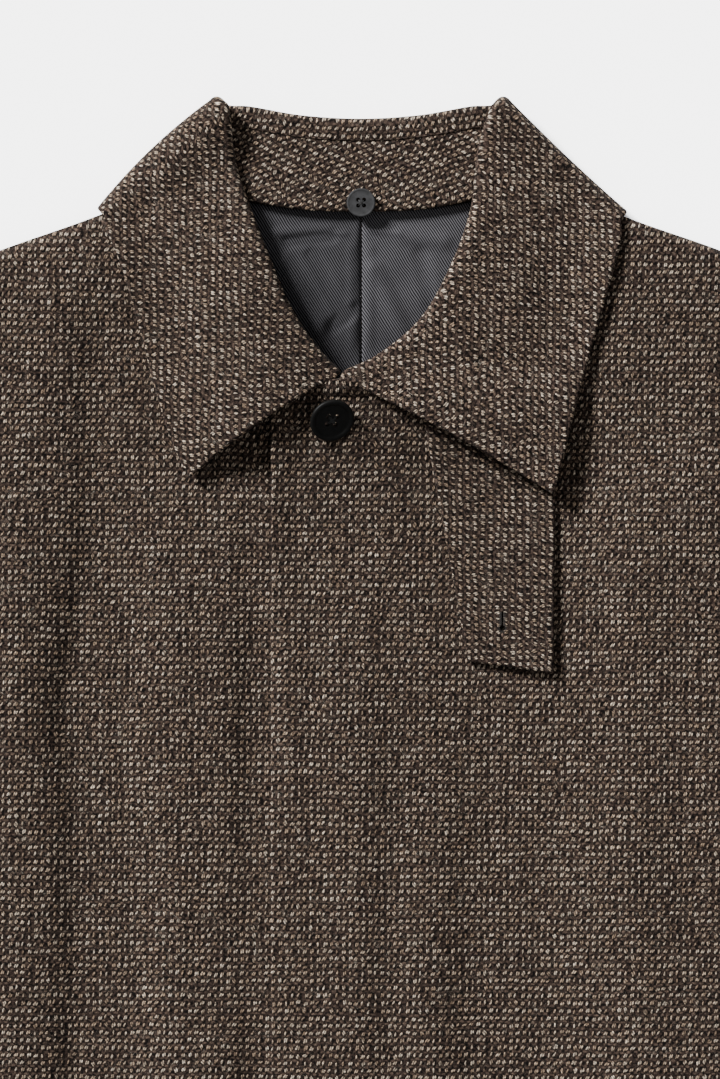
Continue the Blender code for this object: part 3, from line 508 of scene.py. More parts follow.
class CollarForm:
    """Table of sections that the collar and its band are lofted through."""

    def __init__(self) -> None:
        """Join the rows of both leaves, both turns and the back into one table."""
        right = self.leaf_rows(RIGHT_LEAF, -1) + self.turn_rows(-1)
        left = self.leaf_rows(LEFT_LEAF, 1) + self.turn_rows(1)
        self.rows = right + self.back_rows() + left[::-1]
        self.stops = stops_of([row[:6] for row in self.rows])

    @staticmethod
    def outward(side: int, x_part: float, up_part: float) -> Vector:
        """Unit vector in plan, pointing off the coat on one side."""
        return Vector((side * x_part, up_part, 0.0)).normalized()

    @staticmethod
    def turned_point(turn: Row, side: int, normal: Vector, angle: float) -> Vector:
        """Point of the turn over the shoulder at an angle, 90 on top and -90 below."""
        x, drop, radius, middle = turn
        centre = spot(side * x, drop, middle) - normal * radius
        lift = Vector((0.0, 0.0, radius * math.sin(angle)))
        return centre + normal * radius * math.cos(angle) + lift

    def leaf_rows(self, leaf: Sequence[Row], side: int) -> list[tuple[float, ...]]:
        """Rows of one leaf, from its front end to the shoulder."""
        rows = []
        level = BED.front_level if side < 0 else BED.left_level
        for roll_x, roll_drop, roll_top, edge_x, edge_drop, lift, neck_x, neck_drop, bow in leaf:
            neck = spot(neck_x, neck_drop, level(neck_x, neck_drop))
            toward = spot(roll_x - neck_x, roll_drop - neck_drop).normalized()
            height = roll_top - COLLAR_WALL / 2 - LEAF_ROLL
            fold = spot(roll_x, roll_drop, height) - toward * (COLLAR_WALL / 2)
            edge = spot(edge_x, edge_drop, BED.leaf_bed(edge_x, edge_drop, side))
            rows.append((*fold, *edge, *neck, 90.0, LEAF_ROLL, 0.0, bow, lift, side, 0.0))
        return rows

    def turn_rows(self, side: int) -> list[tuple[float, ...]]:
        """Rows of the turn over one shoulder, from the front to the back."""
        rows = []
        edge_turn = EDGE_TURN_RIGHT if side < 0 else EDGE_TURN_LEFT
        roll_out = self.outward(side, 0.70, 0.71)
        edge_out = self.outward(side, 0.70, 0.72)
        neck_out = self.outward(side, 0.60, 0.80)
        facing = self.outward(side, 0.86, 0.51)
        for degrees in TURN_ANGLES:
            angle = math.radians(degrees)
            bow = edge_out * CREASE_BOW[side] * math.cos(angle)
            fold = self.turned_point(ROLL_TURN, side, roll_out, angle)
            edge = self.turned_point(edge_turn, side, edge_out, angle)
            neck = self.turned_point(NECK_TURN, side, neck_out, angle)
            radius = BACK_ROLL + (LEAF_ROLL - BACK_ROLL) * max(math.sin(angle), 0.0)
            rows.append((*fold, *edge, *neck, degrees, radius, *bow.xy, 0.3, *facing.xy))
        return rows

    @staticmethod
    def back_rows() -> list[tuple[float, ...]]:
        """Rows of the collar behind the neck, from the viewer's left to the right."""
        rows = []
        middle = COLLAR_WALL / 2 + 0.25
        for share in BACK_SHARES:
            fold_x, edge_x, neck_x = share * FOLD_HALF, share * FALL_CORNER[0], share * NECK_HALF
            fold = spot(fold_x, BED.fold_back(fold_x) + COLLAR_WALL / 2, middle + BACK_ROLL)
            edge = spot(edge_x, BED.fall_reach(edge_x), middle)
            neck = spot(neck_x, BED.neck_back(neck_x), NECK_BACK_HEIGHT - 1.3 * share * share)
            rows.append((*fold, *edge, *neck, -90.0, BACK_ROLL, 0.0, 0.0, 0.0, share, 0.0))
        return rows


FORM = CollarForm()


class Section:
    """Cross section of the collar at one place along it."""

    def __init__(self, at: float) -> None:
        """Read the table at a share of the collar's length and set up the roll."""
        row = smooth_row(FORM.rows, FORM.stops, at)
        self.fold = Vector(row[0:3])
        self.edge = Vector(row[3:6])
        self.neck = Vector(row[6:9])
        self.degrees = min(max(row[9], -90.0), 90.0)
        self.radius = row[10]
        self.bow = Vector((row[11], row[12], 0.0))
        self.lift = row[13]
        self.side = -1 if self.edge.x < 0 else 1
        self.front_share = 1.0 - ease(0.0, 0.17, min(at, 1.0 - at))
        angle = math.radians(self.degrees)
        normal = Vector((row[14], row[15], 0.0))
        normal = normal.normalized() if normal.length > 1e-6 else Vector((1.0, 0.0, 0.0))
        self.facing = (normal * math.cos(angle) + Vector((0.0, 0.0, math.sin(angle)))).normalized()
        rise = self.fold - self.neck
        rise -= self.facing * rise.dot(self.facing)
        self.up = rise.normalized()
        self.core = self.fold - self.up * self.radius

    def roll(self, share: float) -> Vector:
        """Point of the roll, from the band's side at 0 to the fall's side at 1."""
        turn = math.pi * share
        return self.core + (self.up * math.sin(turn) - self.facing * math.cos(turn)) * self.radius

    def band(self, share: float) -> Vector:
        """Point of the stand, from the roll at 0 down to the neck seam at 1."""
        start = self.roll(0.0)
        reach = (self.neck - start).length / 3.0
        slope = (start - self.neck).normalized()
        rest = 1.0 - share
        return (
            start * rest**3
            + (start - self.up * reach) * 3 * rest**2 * share
            + (self.neck + slope * reach) * 3 * rest * share**2
            + self.neck * share**3
        )

    def strip(self) -> float:
        """Share of the stand that the upper collar covers below the fold."""
        return min(STRIP_WIDTH / (self.neck - self.roll(0.0)).length, 0.42)

    def fall(self, share: float) -> Vector:
        """Point of the fall, from the roll at 0 to the outer edge at 1."""
        start = self.roll(1.0)
        point = start.lerp(self.edge, share) + self.bow * 4.0 * share * (1.0 - share)
        follow = ease(60.0, 90.0, self.degrees)
        soft = ease(0.0, 0.9, share)
        if self.side > 0:
            run = min(share / 0.85, 1.0)
            early = 1.0 - (1.0 - min(1.08 * run * run / (run + 0.08), 1.0)) ** 2.1
            soft += (early - soft) * follow
        rest = self.edge.z
        if follow > 0.0:
            bed = BED.leaf_bed(point.x, -point.y, self.side) + LAY + COLLAR_WALL / 2
            behind, before = EDGE_RAISE[self.side]
            lift = self.lift + behind + (before - behind) * self.front_share
            rest += (bed + lift * share * share - rest) * follow
        point.z = start.z + (rest - start.z) * soft
        arch = math.sin(math.pi * share) ** 1.5
        point.z += LEAF_ARCH[self.side] * follow * self.front_share * arch
        return point


class Graph:
    """Node tree with short ways to add and join its nodes."""

    def __init__(self, tree: bpy.types.NodeTree) -> None:
        """Hold the tree that the nodes go into."""
        self.tree = tree

    def add(self, kind: str, **settings: object) -> bpy.types.Node:
        """Add a node of one kind with its settings."""
        node = self.tree.nodes.new(kind)
        for name, value in settings.items():
            setattr(node, name, value)
        return node

    def join(self, value: object, socket: bpy.types.NodeSocket) -> None:
        """Link a socket, or set a plain value, into an input."""
        if isinstance(value, bpy.types.NodeSocket):
            self.tree.links.new(value, socket)
        else:
            socket.default_value = value

    @staticmethod
    def dial(node: bpy.types.Node, values: dict[str, object]) -> None:
        """Set inputs of a node by their names."""
        for label, value in values.items():
            node.inputs[label].default_value = value

    def math(self, operation: str, *values: object) -> bpy.types.NodeSocket:
        """Result of a Math node."""
        node = self.add("ShaderNodeMath", operation=operation)
        for value, socket in zip(values, node.inputs):
            self.join(value, socket)
        return node.outputs[0]

    def vector(self, operation: str, *values: object) -> bpy.types.NodeSocket:
        """Result of a Vector Math node."""
        node = self.add("ShaderNodeVectorMath", operation=operation)
        for value, socket in zip(values, node.inputs):
            self.join(value, socket)
        return node.outputs[1] if operation in ("LENGTH", "DOT_PRODUCT") else node.outputs[0]

    def smooth(self, value: object, low: float, high: float) -> bpy.types.NodeSocket:
        """Smooth step of a value, from 0 at low to 1 at high."""
        node = self.add("ShaderNodeMapRange", interpolation_type="SMOOTHSTEP")
        self.join(value, node.inputs["Value"])
        ends = (1.0, 0.0) if low > high else (0.0, 1.0)
        values = (min(low, high), max(low, high), *ends)
        self.dial(node, dict(zip(("From Min", "From Max", "To Min", "To Max"), values)))
        return node.outputs["Result"]

    def spread(self, value: object, low: float, high: float) -> bpy.types.NodeSocket:
        """Value from 0 to 1 stretched between low and high."""
        return self.math("MULTIPLY_ADD", value, high - low, low)

    def mix(self, share: object, low: object, high: object) -> bpy.types.NodeSocket:
        """Blend of two colours."""
        node = self.add("ShaderNodeMix", data_type="RGBA")
        self.join(share, node.inputs[0])
        self.join(low, node.inputs[6])
        self.join(high, node.inputs[7])
        return node.outputs[2]

    def scaled(self, colour: object, value: object) -> bpy.types.NodeSocket:
        """Colour made lighter or darker by a value."""
        node = self.add("ShaderNodeVectorMath", operation="SCALE")
        self.join(colour, node.inputs[0])
        self.join(value, node.inputs["Scale"])
        return node.outputs[0]

    def split(self, vector: object) -> list[bpy.types.NodeSocket]:
        """The three parts of a vector."""
        node = self.add("ShaderNodeSeparateXYZ")
        self.join(vector, node.inputs[0])
        return list(node.outputs)

    def combine(self, *values: object) -> bpy.types.NodeSocket:
        """Vector from up to three values."""
        node = self.add("ShaderNodeCombineXYZ")
        for value, socket in zip(values, node.inputs):
            self.join(value, socket)
        return node.outputs[0]

    def random(self, vector: object) -> tuple[bpy.types.NodeSocket, bpy.types.NodeSocket]:
        """Random value and random colour of a cell."""
        node = self.add("ShaderNodeTexWhiteNoise", noise_dimensions="3D")
        self.join(vector, node.inputs["Vector"])
        return node.outputs["Value"], node.outputs["Color"]

    def cloud(self, vector: object, scale: float, detail: float = 2.0) -> bpy.types.Node:
        """Noise texture on a vector."""
        node = self.add("ShaderNodeTexNoise")
        self.join(vector, node.inputs["Vector"])
        self.dial(node, {"Scale": scale, "Detail": detail, "Roughness": 0.6})
        return node

    def turned(self, vector: object, angle: object) -> bpy.types.NodeSocket:
        """Vector turned in its plane by an angle."""
        node = self.add("ShaderNodeVectorRotate", rotation_type="Z_AXIS")
        self.join(vector, node.inputs["Vector"])
        self.join(angle, node.inputs["Angle"])
        return node.outputs["Vector"]

    def relieve(self, shader: bpy.types.Node, height: object, distance: float) -> None:
        """Give a shader fine relief from a height."""
        node = self.add("ShaderNodeBump")
        self.dial(node, {"Distance": distance})
        self.join(height, node.inputs["Height"])
        self.join(node.outputs["Normal"], shader.inputs["Normal"])

    def ramp(self, value: object, stops: Sequence[tuple[float, Row]]) -> bpy.types.NodeSocket:
        """Colour ramp through named stops."""
        node = self.add("ShaderNodeValToRGB")
        self.join(value, node.inputs[0])
        elements = node.color_ramp.elements
        while len(elements) < len(stops):
            elements.new(0.5)
        for element, (place, colour) in zip(elements, stops):
            element.position = place
            element.color = (*colour, 1.0)
        return node.outputs[0]


def new_group(name: str, inputs: dict[str, str], outputs: dict[str, str]) -> bpy.types.NodeTree:
    """Empty shader node group with named sockets.

    Args:
        name: Name of the group.
        inputs: Socket type for each input name.
        outputs: Socket type for each output name.

    Returns:
        The group, with its input and output nodes in place.
    """
    group = bpy.data.node_groups.new(name, "ShaderNodeTree")
    for label, kind in inputs.items():
        group.interface.new_socket(label, in_out="INPUT", socket_type=kind)
    for label, kind in outputs.items():
        group.interface.new_socket(label, in_out="OUTPUT", socket_type=kind)
    group.nodes.new("NodeGroupInput")
    group.nodes.new("NodeGroupOutput")
    return group


class TweedWeave:
    """Node group of a coarse two-tone weave: light slanted grains on a dark ground."""

    NAME = "tweed_weave"
    CENTRE = (0.5, 0.5, 0.5)
    PITCH = (3.56, 4.14, 1.0)
    JITTER = (0.7, 0.8, 0.0)
    GROUND_JITTER = (0.9, 0.9, 0.0)
    # Wandering of the rows: scale of the noise, reach in millimetres
    WANDER = ((0.045, 3.0), (0.42, 1.1))
    # Stray hairs: angle and offset of each set
    HAIRS = ((0.5, 3.0), (-0.9, 71.0), (1.9, 140.0))
    HAIR = (0.34, 0.30, 0.25, 1.0)
    FINE_GAIN = (0.38, 1.62)
    ROW_GAIN = (0.72, 1.28)
    COLUMN_GAIN = (0.78, 1.22)
    BLACK = (0.0025, 0.0016, 0.0014, 1.0)
    GROUND = (0.033, 0.0215, 0.0170, 1.0)
    DIM = (0.105, 0.072, 0.054, 1.0)
    GRAINS = (
        (0.00, (0.230, 0.150, 0.094)),
        (0.30, (0.330, 0.238, 0.165)),
        (0.62, (0.450, 0.360, 0.270)),
        (0.90, (0.540, 0.460, 0.370)),
        (1.00, (0.360, 0.340, 0.310)),
    )
    # Strokes of one grain: centre, half sizes, least random value at which it shows
    STROKES = (
        ((-0.46, -0.22, 0.0), (0.56, 1.38, 1.0), 0.0),
        ((0.50, 0.26, 0.0), (0.50, 1.22, 1.0), 0.30),
    )

    def build(self) -> bpy.types.NodeTree:
        """Make the group: cloth place in millimetres in, colour and height out."""
        group = new_group(
            self.NAME,
            {"Cloth": "NodeSocketVector", "Seed": "NodeSocketFloat", "Gain": "NodeSocketFloat"},
            {"Color": "NodeSocketColor", "Height": "NodeSocketFloat"},
        )
        graph = Graph(group)
        given = group.nodes["Group Input"]
        seed = given.outputs["Seed"]
        cloth = self.wandering(graph, given.outputs["Cloth"])
        grain, tone, height, fibre = self.grains(graph, cloth, seed)
        dim, dim_height = self.ground(graph, cloth, seed)
        depth = graph.smooth(graph.cloud(cloth, 0.62, 3.0).outputs["Fac"], 0.43, 0.57)
        base = graph.mix(depth, self.BLACK, self.GROUND)
        base = graph.mix(dim, base, self.DIM)
        light = graph.scaled(tone, self.streaks(graph, cloth, seed))
        colour = graph.mix(grain, base, light)
        colour = graph.mix(self.hairs(graph, cloth), colour, self.HAIR)
        fine = graph.smooth(graph.cloud(cloth, 1.15, 2.0).outputs["Fac"], 0.32, 0.68)
        colour = graph.scaled(colour, graph.spread(fine, *self.FINE_GAIN))
        colour = graph.scaled(colour, given.outputs["Gain"])
        relief = graph.math("MULTIPLY_ADD", grain, height, graph.math("MULTIPLY", dim_height, 0.35))
        relief = graph.math("ADD", relief, graph.math("MULTIPLY", fibre, 0.35))
        result = group.nodes["Group Output"]
        graph.join(colour, result.inputs["Color"])
        graph.join(relief, result.inputs["Height"])
        return group

    def wandering(self, graph: Graph, cloth: object) -> bpy.types.NodeSocket:
        """Cloth places moved a little, so that the rows wander."""
        moved = cloth
        for scale, reach in self.WANDER:
            noise_colour = graph.cloud(cloth, scale, 1.0).outputs["Color"]
            drift = graph.vector("SUBTRACT", noise_colour, self.CENTRE)
            moved = graph.vector("MULTIPLY_ADD", drift, (reach, reach, 0.0), moved)
        return moved

    def cells(self, graph: Graph, cloth: object, shift: float, seed: object) -> tuple:
        """Random values of a cell, and the place inside it in millimetres."""
        scaled = graph.vector("DIVIDE", cloth, self.PITCH)
        moved = graph.vector("ADD", scaled, (shift, shift, 0.0))
        cell = graph.vector("FLOOR", moved)
        cell = graph.vector("ADD", cell, graph.combine(0.0, 0.0, seed))
        local = graph.vector("SUBTRACT", graph.vector("FRACTION", moved), (0.5, 0.5, 0.0))
        local = graph.vector("MULTIPLY", local, (self.PITCH[0], self.PITCH[1], 0.0))
        value, colour = graph.random(cell)
        other, _ = graph.random(graph.vector("ADD", cell, (41.7, 13.3, 5.9)))
        return local, value, colour, other

    def grains(self, graph: Graph, cloth: object, seed: object) -> tuple:
        """Mask, colour, height and fibres of the light grains."""
        local, value, colour, other = self.cells(graph, cloth, 0.0, seed)
        jitter = graph.vector("SUBTRACT", colour, self.CENTRE)
        local = graph.vector("MULTIPLY_ADD", jitter, self.JITTER, local)
        lean = graph.spread(value, 0.08, 0.62)
        flipped = graph.math("GREATER_THAN", other, 0.86)
        lean = graph.math("MULTIPLY", lean, graph.spread(flipped, 1.0, -0.9))
        turned = graph.turned(local, lean)
        mask: object = 0.0
        for centre, half, least in self.STROKES:
            away = graph.vector("DIVIDE", graph.vector("SUBTRACT", turned, centre), half)
            stroke = graph.smooth(graph.vector("LENGTH", away), 1.12, 0.52)
            if least:
                stroke = graph.math("MULTIPLY", stroke, graph.math("GREATER_THAN", other, least))
            mask = graph.math("MAXIMUM", mask, stroke)
        strands = graph.vector("MULTIPLY", turned, (2.6, 0.55, 1.0))
        strands = graph.vector("ADD", strands, graph.scaled(colour, 40.0))
        fibre = graph.cloud(strands, 1.0, 2.0).outputs["Fac"]
        frayed = graph.spread(graph.smooth(fibre, 0.26, 0.52), 0.35, 1.0)
        mask = graph.math("MULTIPLY", mask, frayed)
        pick = graph.math("FRACT", graph.math("MULTIPLY_ADD", value, 7.31, other))
        pick = graph.math("MULTIPLY_ADD", fibre, 1.1, graph.spread(pick, -0.32, 0.22))
        tone = graph.ramp(pick, self.GRAINS)
        return mask, tone, graph.spread(other, 0.7, 1.0), fibre

    def ground(self, graph: Graph, cloth: object, seed: object) -> tuple:
        """Mask and height of the dim crossing yarns between the grains."""
        local, value, colour, other = self.cells(graph, cloth, 0.5, seed)
        jitter = graph.vector("SUBTRACT", colour, self.CENTRE)
        local = graph.vector("MULTIPLY_ADD", jitter, self.GROUND_JITTER, local)
        away = graph.vector("DIVIDE", local, (1.25, 0.8, 1.0))
        mask = graph.smooth(graph.vector("LENGTH", away), 1.25, 0.3)
        mask = graph.math("MULTIPLY", mask, graph.spread(value, 0.3, 1.0))
        return mask, graph.math("MULTIPLY", mask, other)

    def streaks(self, graph: Graph, cloth: object, seed: object) -> bpy.types.NodeSocket:
        """Lighter and darker stretches along single yarns, both ways."""
        moved = graph.vector("ADD", cloth, graph.combine(seed, seed, 0.0))
        along = graph.vector("MULTIPLY", moved, (0.03, 0.24, 0.0))
        across = graph.vector("MULTIPLY", moved, (0.28, 0.025, 0.0))
        rows = graph.smooth(graph.cloud(along, 1.0, 1.0).outputs["Fac"], 0.25, 0.75)
        columns = graph.smooth(graph.cloud(across, 1.0, 1.0).outputs["Fac"], 0.25, 0.75)
        rows = graph.spread(rows, *self.ROW_GAIN)
        return graph.math("MULTIPLY", rows, graph.spread(columns, *self.COLUMN_GAIN))

    def hairs(self, graph: Graph, cloth: object) -> bpy.types.NodeSocket:
        """Mask of thin stray fibres that lie on the cloth's raised surface."""
        mask: object = 0.0
        for angle, offset in self.HAIRS:
            bend = graph.vector("MULTIPLY", graph.turned(cloth, angle), (0.10, 0.9, 0.0))
            bend = graph.vector("ADD", bend, (offset, offset, 0.0))
            thread = graph.cloud(bend, 1.0, 0.0).outputs["Fac"]
            thin = graph.math("ABSOLUTE", graph.math("SUBTRACT", thread, 0.5))
            thin = graph.smooth(thin, 0.010, 0.002)
            moved = graph.vector("ADD", cloth, (offset, 0.0, 0.0))
            sparse = graph.smooth(graph.cloud(moved, 0.12, 1.0).outputs["Fac"], 0.58, 0.66)
            thin = graph.math("MULTIPLY", thin, sparse)
            mask = graph.math("MAXIMUM", mask, thin)
        return graph.math("MULTIPLY", mask, 0.55)


class SatinTwill:
    """Node group of a fine steep twill with a satin face."""

    NAME = "satin_twill"
    PERIOD = 1.28
    LEAN = math.radians(57.0)
    DARK = (0.004, 0.0038, 0.0044, 1.0)
    LIGHT = (0.135, 0.131, 0.142, 1.0)

    def build(self) -> bpy.types.NodeTree:
        """Make the group: cloth place in millimetres in, colour and height out."""
        group = new_group(
            self.NAME,
            {"Cloth": "NodeSocketVector"},
            {"Color": "NodeSocketColor", "Height": "NodeSocketFloat"},
        )
        graph = Graph(group)
        cloth = group.nodes["Group Input"].outputs["Cloth"]
        sway = graph.cloud(cloth, 0.09, 1.0).outputs["Fac"]
        across = (math.sin(self.LEAN) / self.PERIOD, math.cos(self.LEAN) / self.PERIOD, 0.0)
        phase = graph.math("MULTIPLY_ADD", sway, 0.9, graph.vector("DOT_PRODUCT", cloth, across))
        wave = graph.math("SINE", graph.math("MULTIPLY", phase, math.tau))
        line = graph.smooth(wave, -0.55, 0.65)
        stretched = graph.vector("MULTIPLY", cloth, (1.6, 0.5, 1.0))
        yarn = graph.cloud(stretched, 1.0, 2.0).outputs["Fac"]
        line = graph.math("MULTIPLY", line, graph.spread(yarn, 0.62, 1.3))
        result = group.nodes["Group Output"]
        graph.join(graph.mix(line, self.DARK, self.LIGHT), result.inputs["Color"])
        graph.join(line, result.inputs["Height"])
        return group


GROUPS = {kind.NAME: kind().build() for kind in (TweedWeave, SatinTwill)}


def cloth_place(graph: Graph) -> bpy.types.NodeSocket:
    """Place on a piece's own cloth, in millimetres, from its UV map."""
    source = graph.add("ShaderNodeUVMap", uv_map="cloth")
    return graph.vector("MULTIPLY", source.outputs["UV"], (1000.0, 1000.0, 0.0))


@dataclass(frozen=True)
class Finish:
    """A surface finish, made as one material the first time it is asked for."""

    name: str
    roughness: float
    slot: Slot

    def paint(self, graph: Graph, shader: bpy.types.Node) -> None:
        """Join the finish's pattern into its shader."""
        raise NotImplementedError

    def material(self) -> bpy.types.Material:
        """The finish's material, made once."""
        material = bpy.data.materials.get(self.name)
        if material is None:
            material = bpy.data.materials.new(self.name)
            material.use_nodes = True
            shader = material.node_tree.nodes["Principled BSDF"]
            shader.inputs["Roughness"].default_value = self.roughness
            self.paint(Graph(material.node_tree), shader)
        return material


@dataclass(frozen=True)
class Tweed(Finish):
    """Coarse napped wool, its weave following the cloth."""

    seed: float = 0.0
    gain: float = 1.0
    # Painted light: share by which the cloth is painted lighter past a span of its cloth map's
    # second axis
    painted_light_gain: float = 0.0
    painted_light_span: tuple[float, float] = (-20.0, 50.0)
    relief: float = 0.00045

    def paint(self, graph: Graph, shader: bpy.types.Node) -> None:
        """Join the weave's colour and relief, any painted light, and a faint bloom of fibres."""
        weave = graph.add("ShaderNodeGroup", node_tree=GROUPS[TweedWeave.NAME])
        cloth = cloth_place(graph)
        graph.join(cloth, weave.inputs["Cloth"])
        graph.dial(weave, {"Seed": self.seed, "Gain": self.gain})
        # Painted light: the weave's gain ramps up across the span, so one part of the cloth is
        # painted lighter
        if self.painted_light_gain:
            painted_light_share = graph.smooth(graph.split(cloth)[1], *self.painted_light_span)
            gain = graph.spread(painted_light_share, self.gain, self.gain * (1.0 + self.painted_light_gain))
            graph.join(gain, weave.inputs["Gain"])
        graph.relieve(shader, weave.outputs["Height"], self.relief)
        graph.join(weave.outputs["Color"], shader.inputs["Base Color"])
        gloss = {"Sheen Weight": 0.035, "Sheen Roughness": 0.6, "Specular IOR Level": 0.08}
        graph.dial(shader, gloss)


@dataclass(frozen=True)
class Satin(Finish):
    """Twill lining with a soft gloss."""

    gain: float = 1.0
    relief: float = 0.00008

    def paint(self, graph: Graph, shader: bpy.types.Node) -> None:
        """Join the twill's colour and relief."""
        twill = graph.add("ShaderNodeGroup", node_tree=GROUPS[SatinTwill.NAME])
        graph.join(cloth_place(graph), twill.inputs["Cloth"])
        graph.relieve(shader, twill.outputs["Height"], self.relief)
        graph.join(graph.scaled(twill.outputs["Color"], self.gain), shader.inputs["Base Color"])
        graph.dial(shader, {"Specular IOR Level": 0.08, "Sheen Weight": 0.05})


@dataclass(frozen=True)
class Horn(Finish):
    """Button resin, faintly mottled and rubbed."""

    dark: tuple[float, float, float] = (0.01, 0.01, 0.011)
    light: tuple[float, float, float] = (0.022, 0.021, 0.022)
    relief: float = 0.00003

    def paint(self, graph: Graph, shader: bpy.types.Node) -> None:
        """Join a mottled colour, uneven gloss and fine turning marks."""
        place = graph.add("ShaderNodeTexCoord").outputs["Object"]
        mottle = graph.cloud(place, 260.0, 3.0).outputs["Fac"]
        fine = graph.cloud(place, 2200.0, 2.0).outputs["Fac"]
        share = graph.smooth(mottle, 0.3, 0.7)
        tones = ((*tone, 1.0) for tone in (self.dark, self.light))
        graph.join(graph.mix(share, *tones), shader.inputs["Base Color"])
        rough = graph.spread(mottle, self.roughness - 0.08, self.roughness + 0.08)
        graph.join(rough, shader.inputs["Roughness"])
        graph.dial(shader, {"Specular IOR Level": 0.18})
        graph.relieve(shader, fine, self.relief)


@dataclass(frozen=True)
class Yarn(Finish):
    """Sewing thread with its twist."""

    colour: tuple[float, float, float] = (0.03, 0.023, 0.019)

    def paint(self, graph: Graph, shader: bpy.types.Node) -> None:
        """Join a colour with the fine dark lines of the twist."""
        place = graph.add("ShaderNodeTexCoord").outputs["Object"]
        twist = graph.add("ShaderNodeTexWave", bands_direction="DIAGONAL")
        graph.join(place, twist.inputs["Vector"])
        graph.dial(twist, {"Scale": 900.0, "Distortion": 2.0})
        low = tuple(part * 0.55 for part in self.colour)
        mixed = graph.mix(twist.outputs["Fac"], (*low, 1.0), (*self.colour, 1.0))
        graph.join(mixed, shader.inputs["Base Color"])
        graph.dial(shader, {"Sheen Weight": 0.2})


@dataclass(frozen=True)
class Ground(Finish):
    """Plain pale floor, seen as white as a lit studio table."""

    shade: float = 0.8
    seen: float = 4.2

    def paint(self, graph: Graph, shader: bpy.types.Node) -> None:
        """Join a pale tone, and a whiter one for what is seen directly."""
        seen = graph.add("ShaderNodeLightPath").outputs["Is Camera Ray"]
        tones = ((*(tone,) * 3, 1.0) for tone in (self.shade, self.seen))
        graph.join(graph.mix(seen, *tones), shader.inputs["Base Color"])
        graph.dial(shader, {"Specular IOR Level": 0.0})


BODY_TWEED = Tweed("body_tweed", 0.92, Slot.TWEED, seed=3.0, gain=1.12)
# Collar tweed painted up to 14% lighter towards the viewer's right leaf: painted light standing in
# for light on that leaf
COLLAR_TWEED = Tweed("collar_tweed", 0.92, Slot.TWEED, seed=19.0, gain=1.16, painted_light_gain=0.14)
BAND_TWEED = Tweed("band_tweed", 0.92, Slot.TWEED, seed=37.0, gain=1.10)
TAB_TWEED = Tweed("tab_tweed", 0.92, Slot.TWEED, seed=53.0, gain=1.10)
LINING_SATIN = Satin("lining_satin", 0.72, Slot.LINING, gain=1.10)
# Copy of the lining satin painted darker: painted shade for the viewer's left half, shaded by the
# left leaf's roll and the neck seam
LINING_SATIN_PAINTED_SHADE = Satin("lining_satin_painted_shade", 0.72, Slot.LINING, gain=0.77)
HORN_BLACK = Horn("horn_black", 0.5, Slot.BLACK, (0.0045, 0.0044, 0.0042), (0.008, 0.0078, 0.0074))
HORN_GREY = Horn("horn_grey", 0.7, Slot.GREY, (0.033, 0.033, 0.034), (0.056, 0.056, 0.058))
THREAD_BLACK = Yarn("thread_black", 0.6, Slot.BLACK, colour=(0.008, 0.008, 0.008))
THREAD_BROWN = Yarn("thread_brown", 0.8, Slot.TWEED)
FLOOR_PALE = Ground("floor_pale", 0.9, Slot.TWEED)


def to_metres(point: Vector) -> tuple[float, float, float]:
    """A point of the coat in metres, in the frame of the solids."""
    return (point.x * METRES, (point.y + LENGTH / 2) * METRES, point.z * METRES)


def put_piece(
    name: str, mesh: bpy.types.Mesh, finish: Finish, nodes: Sequence[str] = ()
) -> bpy.types.Object:
    """Link a finished mesh as a piece that rides on the coat.

    Args:
        name: Name of the piece.
        mesh: Its mesh, in metres and in place.
        finish: Its finish.
        nodes: Nodes of the solids that it stands for, if any.

    Returns:
        The piece's object.
    """
    mesh.materials.clear()
    mesh.materials.append(finish.material())
    piece = bpy.data.objects.new(name, mesh)
    bpy.context.scene.collection.objects.link(piece)
    declare_piece(piece, nodes)
    return piece


def declare_piece(piece: bpy.types.Object, nodes: Sequence[str]) -> None:
    """Hang a piece on the coat's root body, and hide the solids that it stands for."""
    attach(piece, "root")
    if nodes:
        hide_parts(*nodes)
    LOG.info("%s: %d faces", piece.name, len(piece.data.polygons))


def face_out(mesh: bpy.types.Mesh) -> None:
    """Turn all faces of a closed mesh outwards."""
    work = bmesh.new()
    work.from_mesh(mesh)
    bmesh.ops.recalc_face_normals(work, faces=work.faces)
    work.to_mesh(mesh)
    work.free()


def cloth_mesh(
    name: str, points: list[Corner], faces: list[list[int]], places: list[Corner]
) -> bpy.types.Mesh:
    """Closed smooth mesh with its cloth map.

    Args:
        name: Name of the mesh.
        points: Its points, in metres.
        faces: Point numbers of each face.
        places: Place on the cloth of each corner of each face, in millimetres.

    Returns:
        The mesh.
    """
    mesh = bpy.data.meshes.new(name)
    mesh.from_pydata(points, [], faces)
    layer = mesh.uv_layers.new(name="cloth")
    layer.data.foreach_set("uv", [part * METRES for place in places for part in place])
    mesh.shade_smooth()
    face_out(mesh)
    return mesh


def cut_out(piece: bpy.types.Object, cutter: bpy.types.Object) -> None:
    """Take a closed shape out of a piece, and remove the shape."""
    cut = piece.modifiers.new("cut", "BOOLEAN")
    cut.operation = "DIFFERENCE"
    cut.solver = "EXACT"
    cut.object = cutter
    bpy.context.view_layer.objects.active = piece
    bpy.ops.object.modifier_apply(modifier=cut.name)
    bpy.data.objects.remove(cutter)


def groove(distance: float, width: float, depth: float) -> float:
    """Depth of a sewn groove at a distance from its line."""
    return depth * math.exp(-((distance / width) ** 2))


def normals_of(grid: Grid) -> Grid:
    """Unit normal at each point of a grid, from its neighbours."""
    places = np.array([[tuple(point) for point in line] for line in grid])
    down = np.gradient(places, axis=0)
    across = np.gradient(places, axis=1)
    normals = np.cross(across, down)
    normals /= np.maximum(np.linalg.norm(normals, axis=2, keepdims=True), 1e-9)
    return [[Vector(normal) for normal in line] for line in normals]


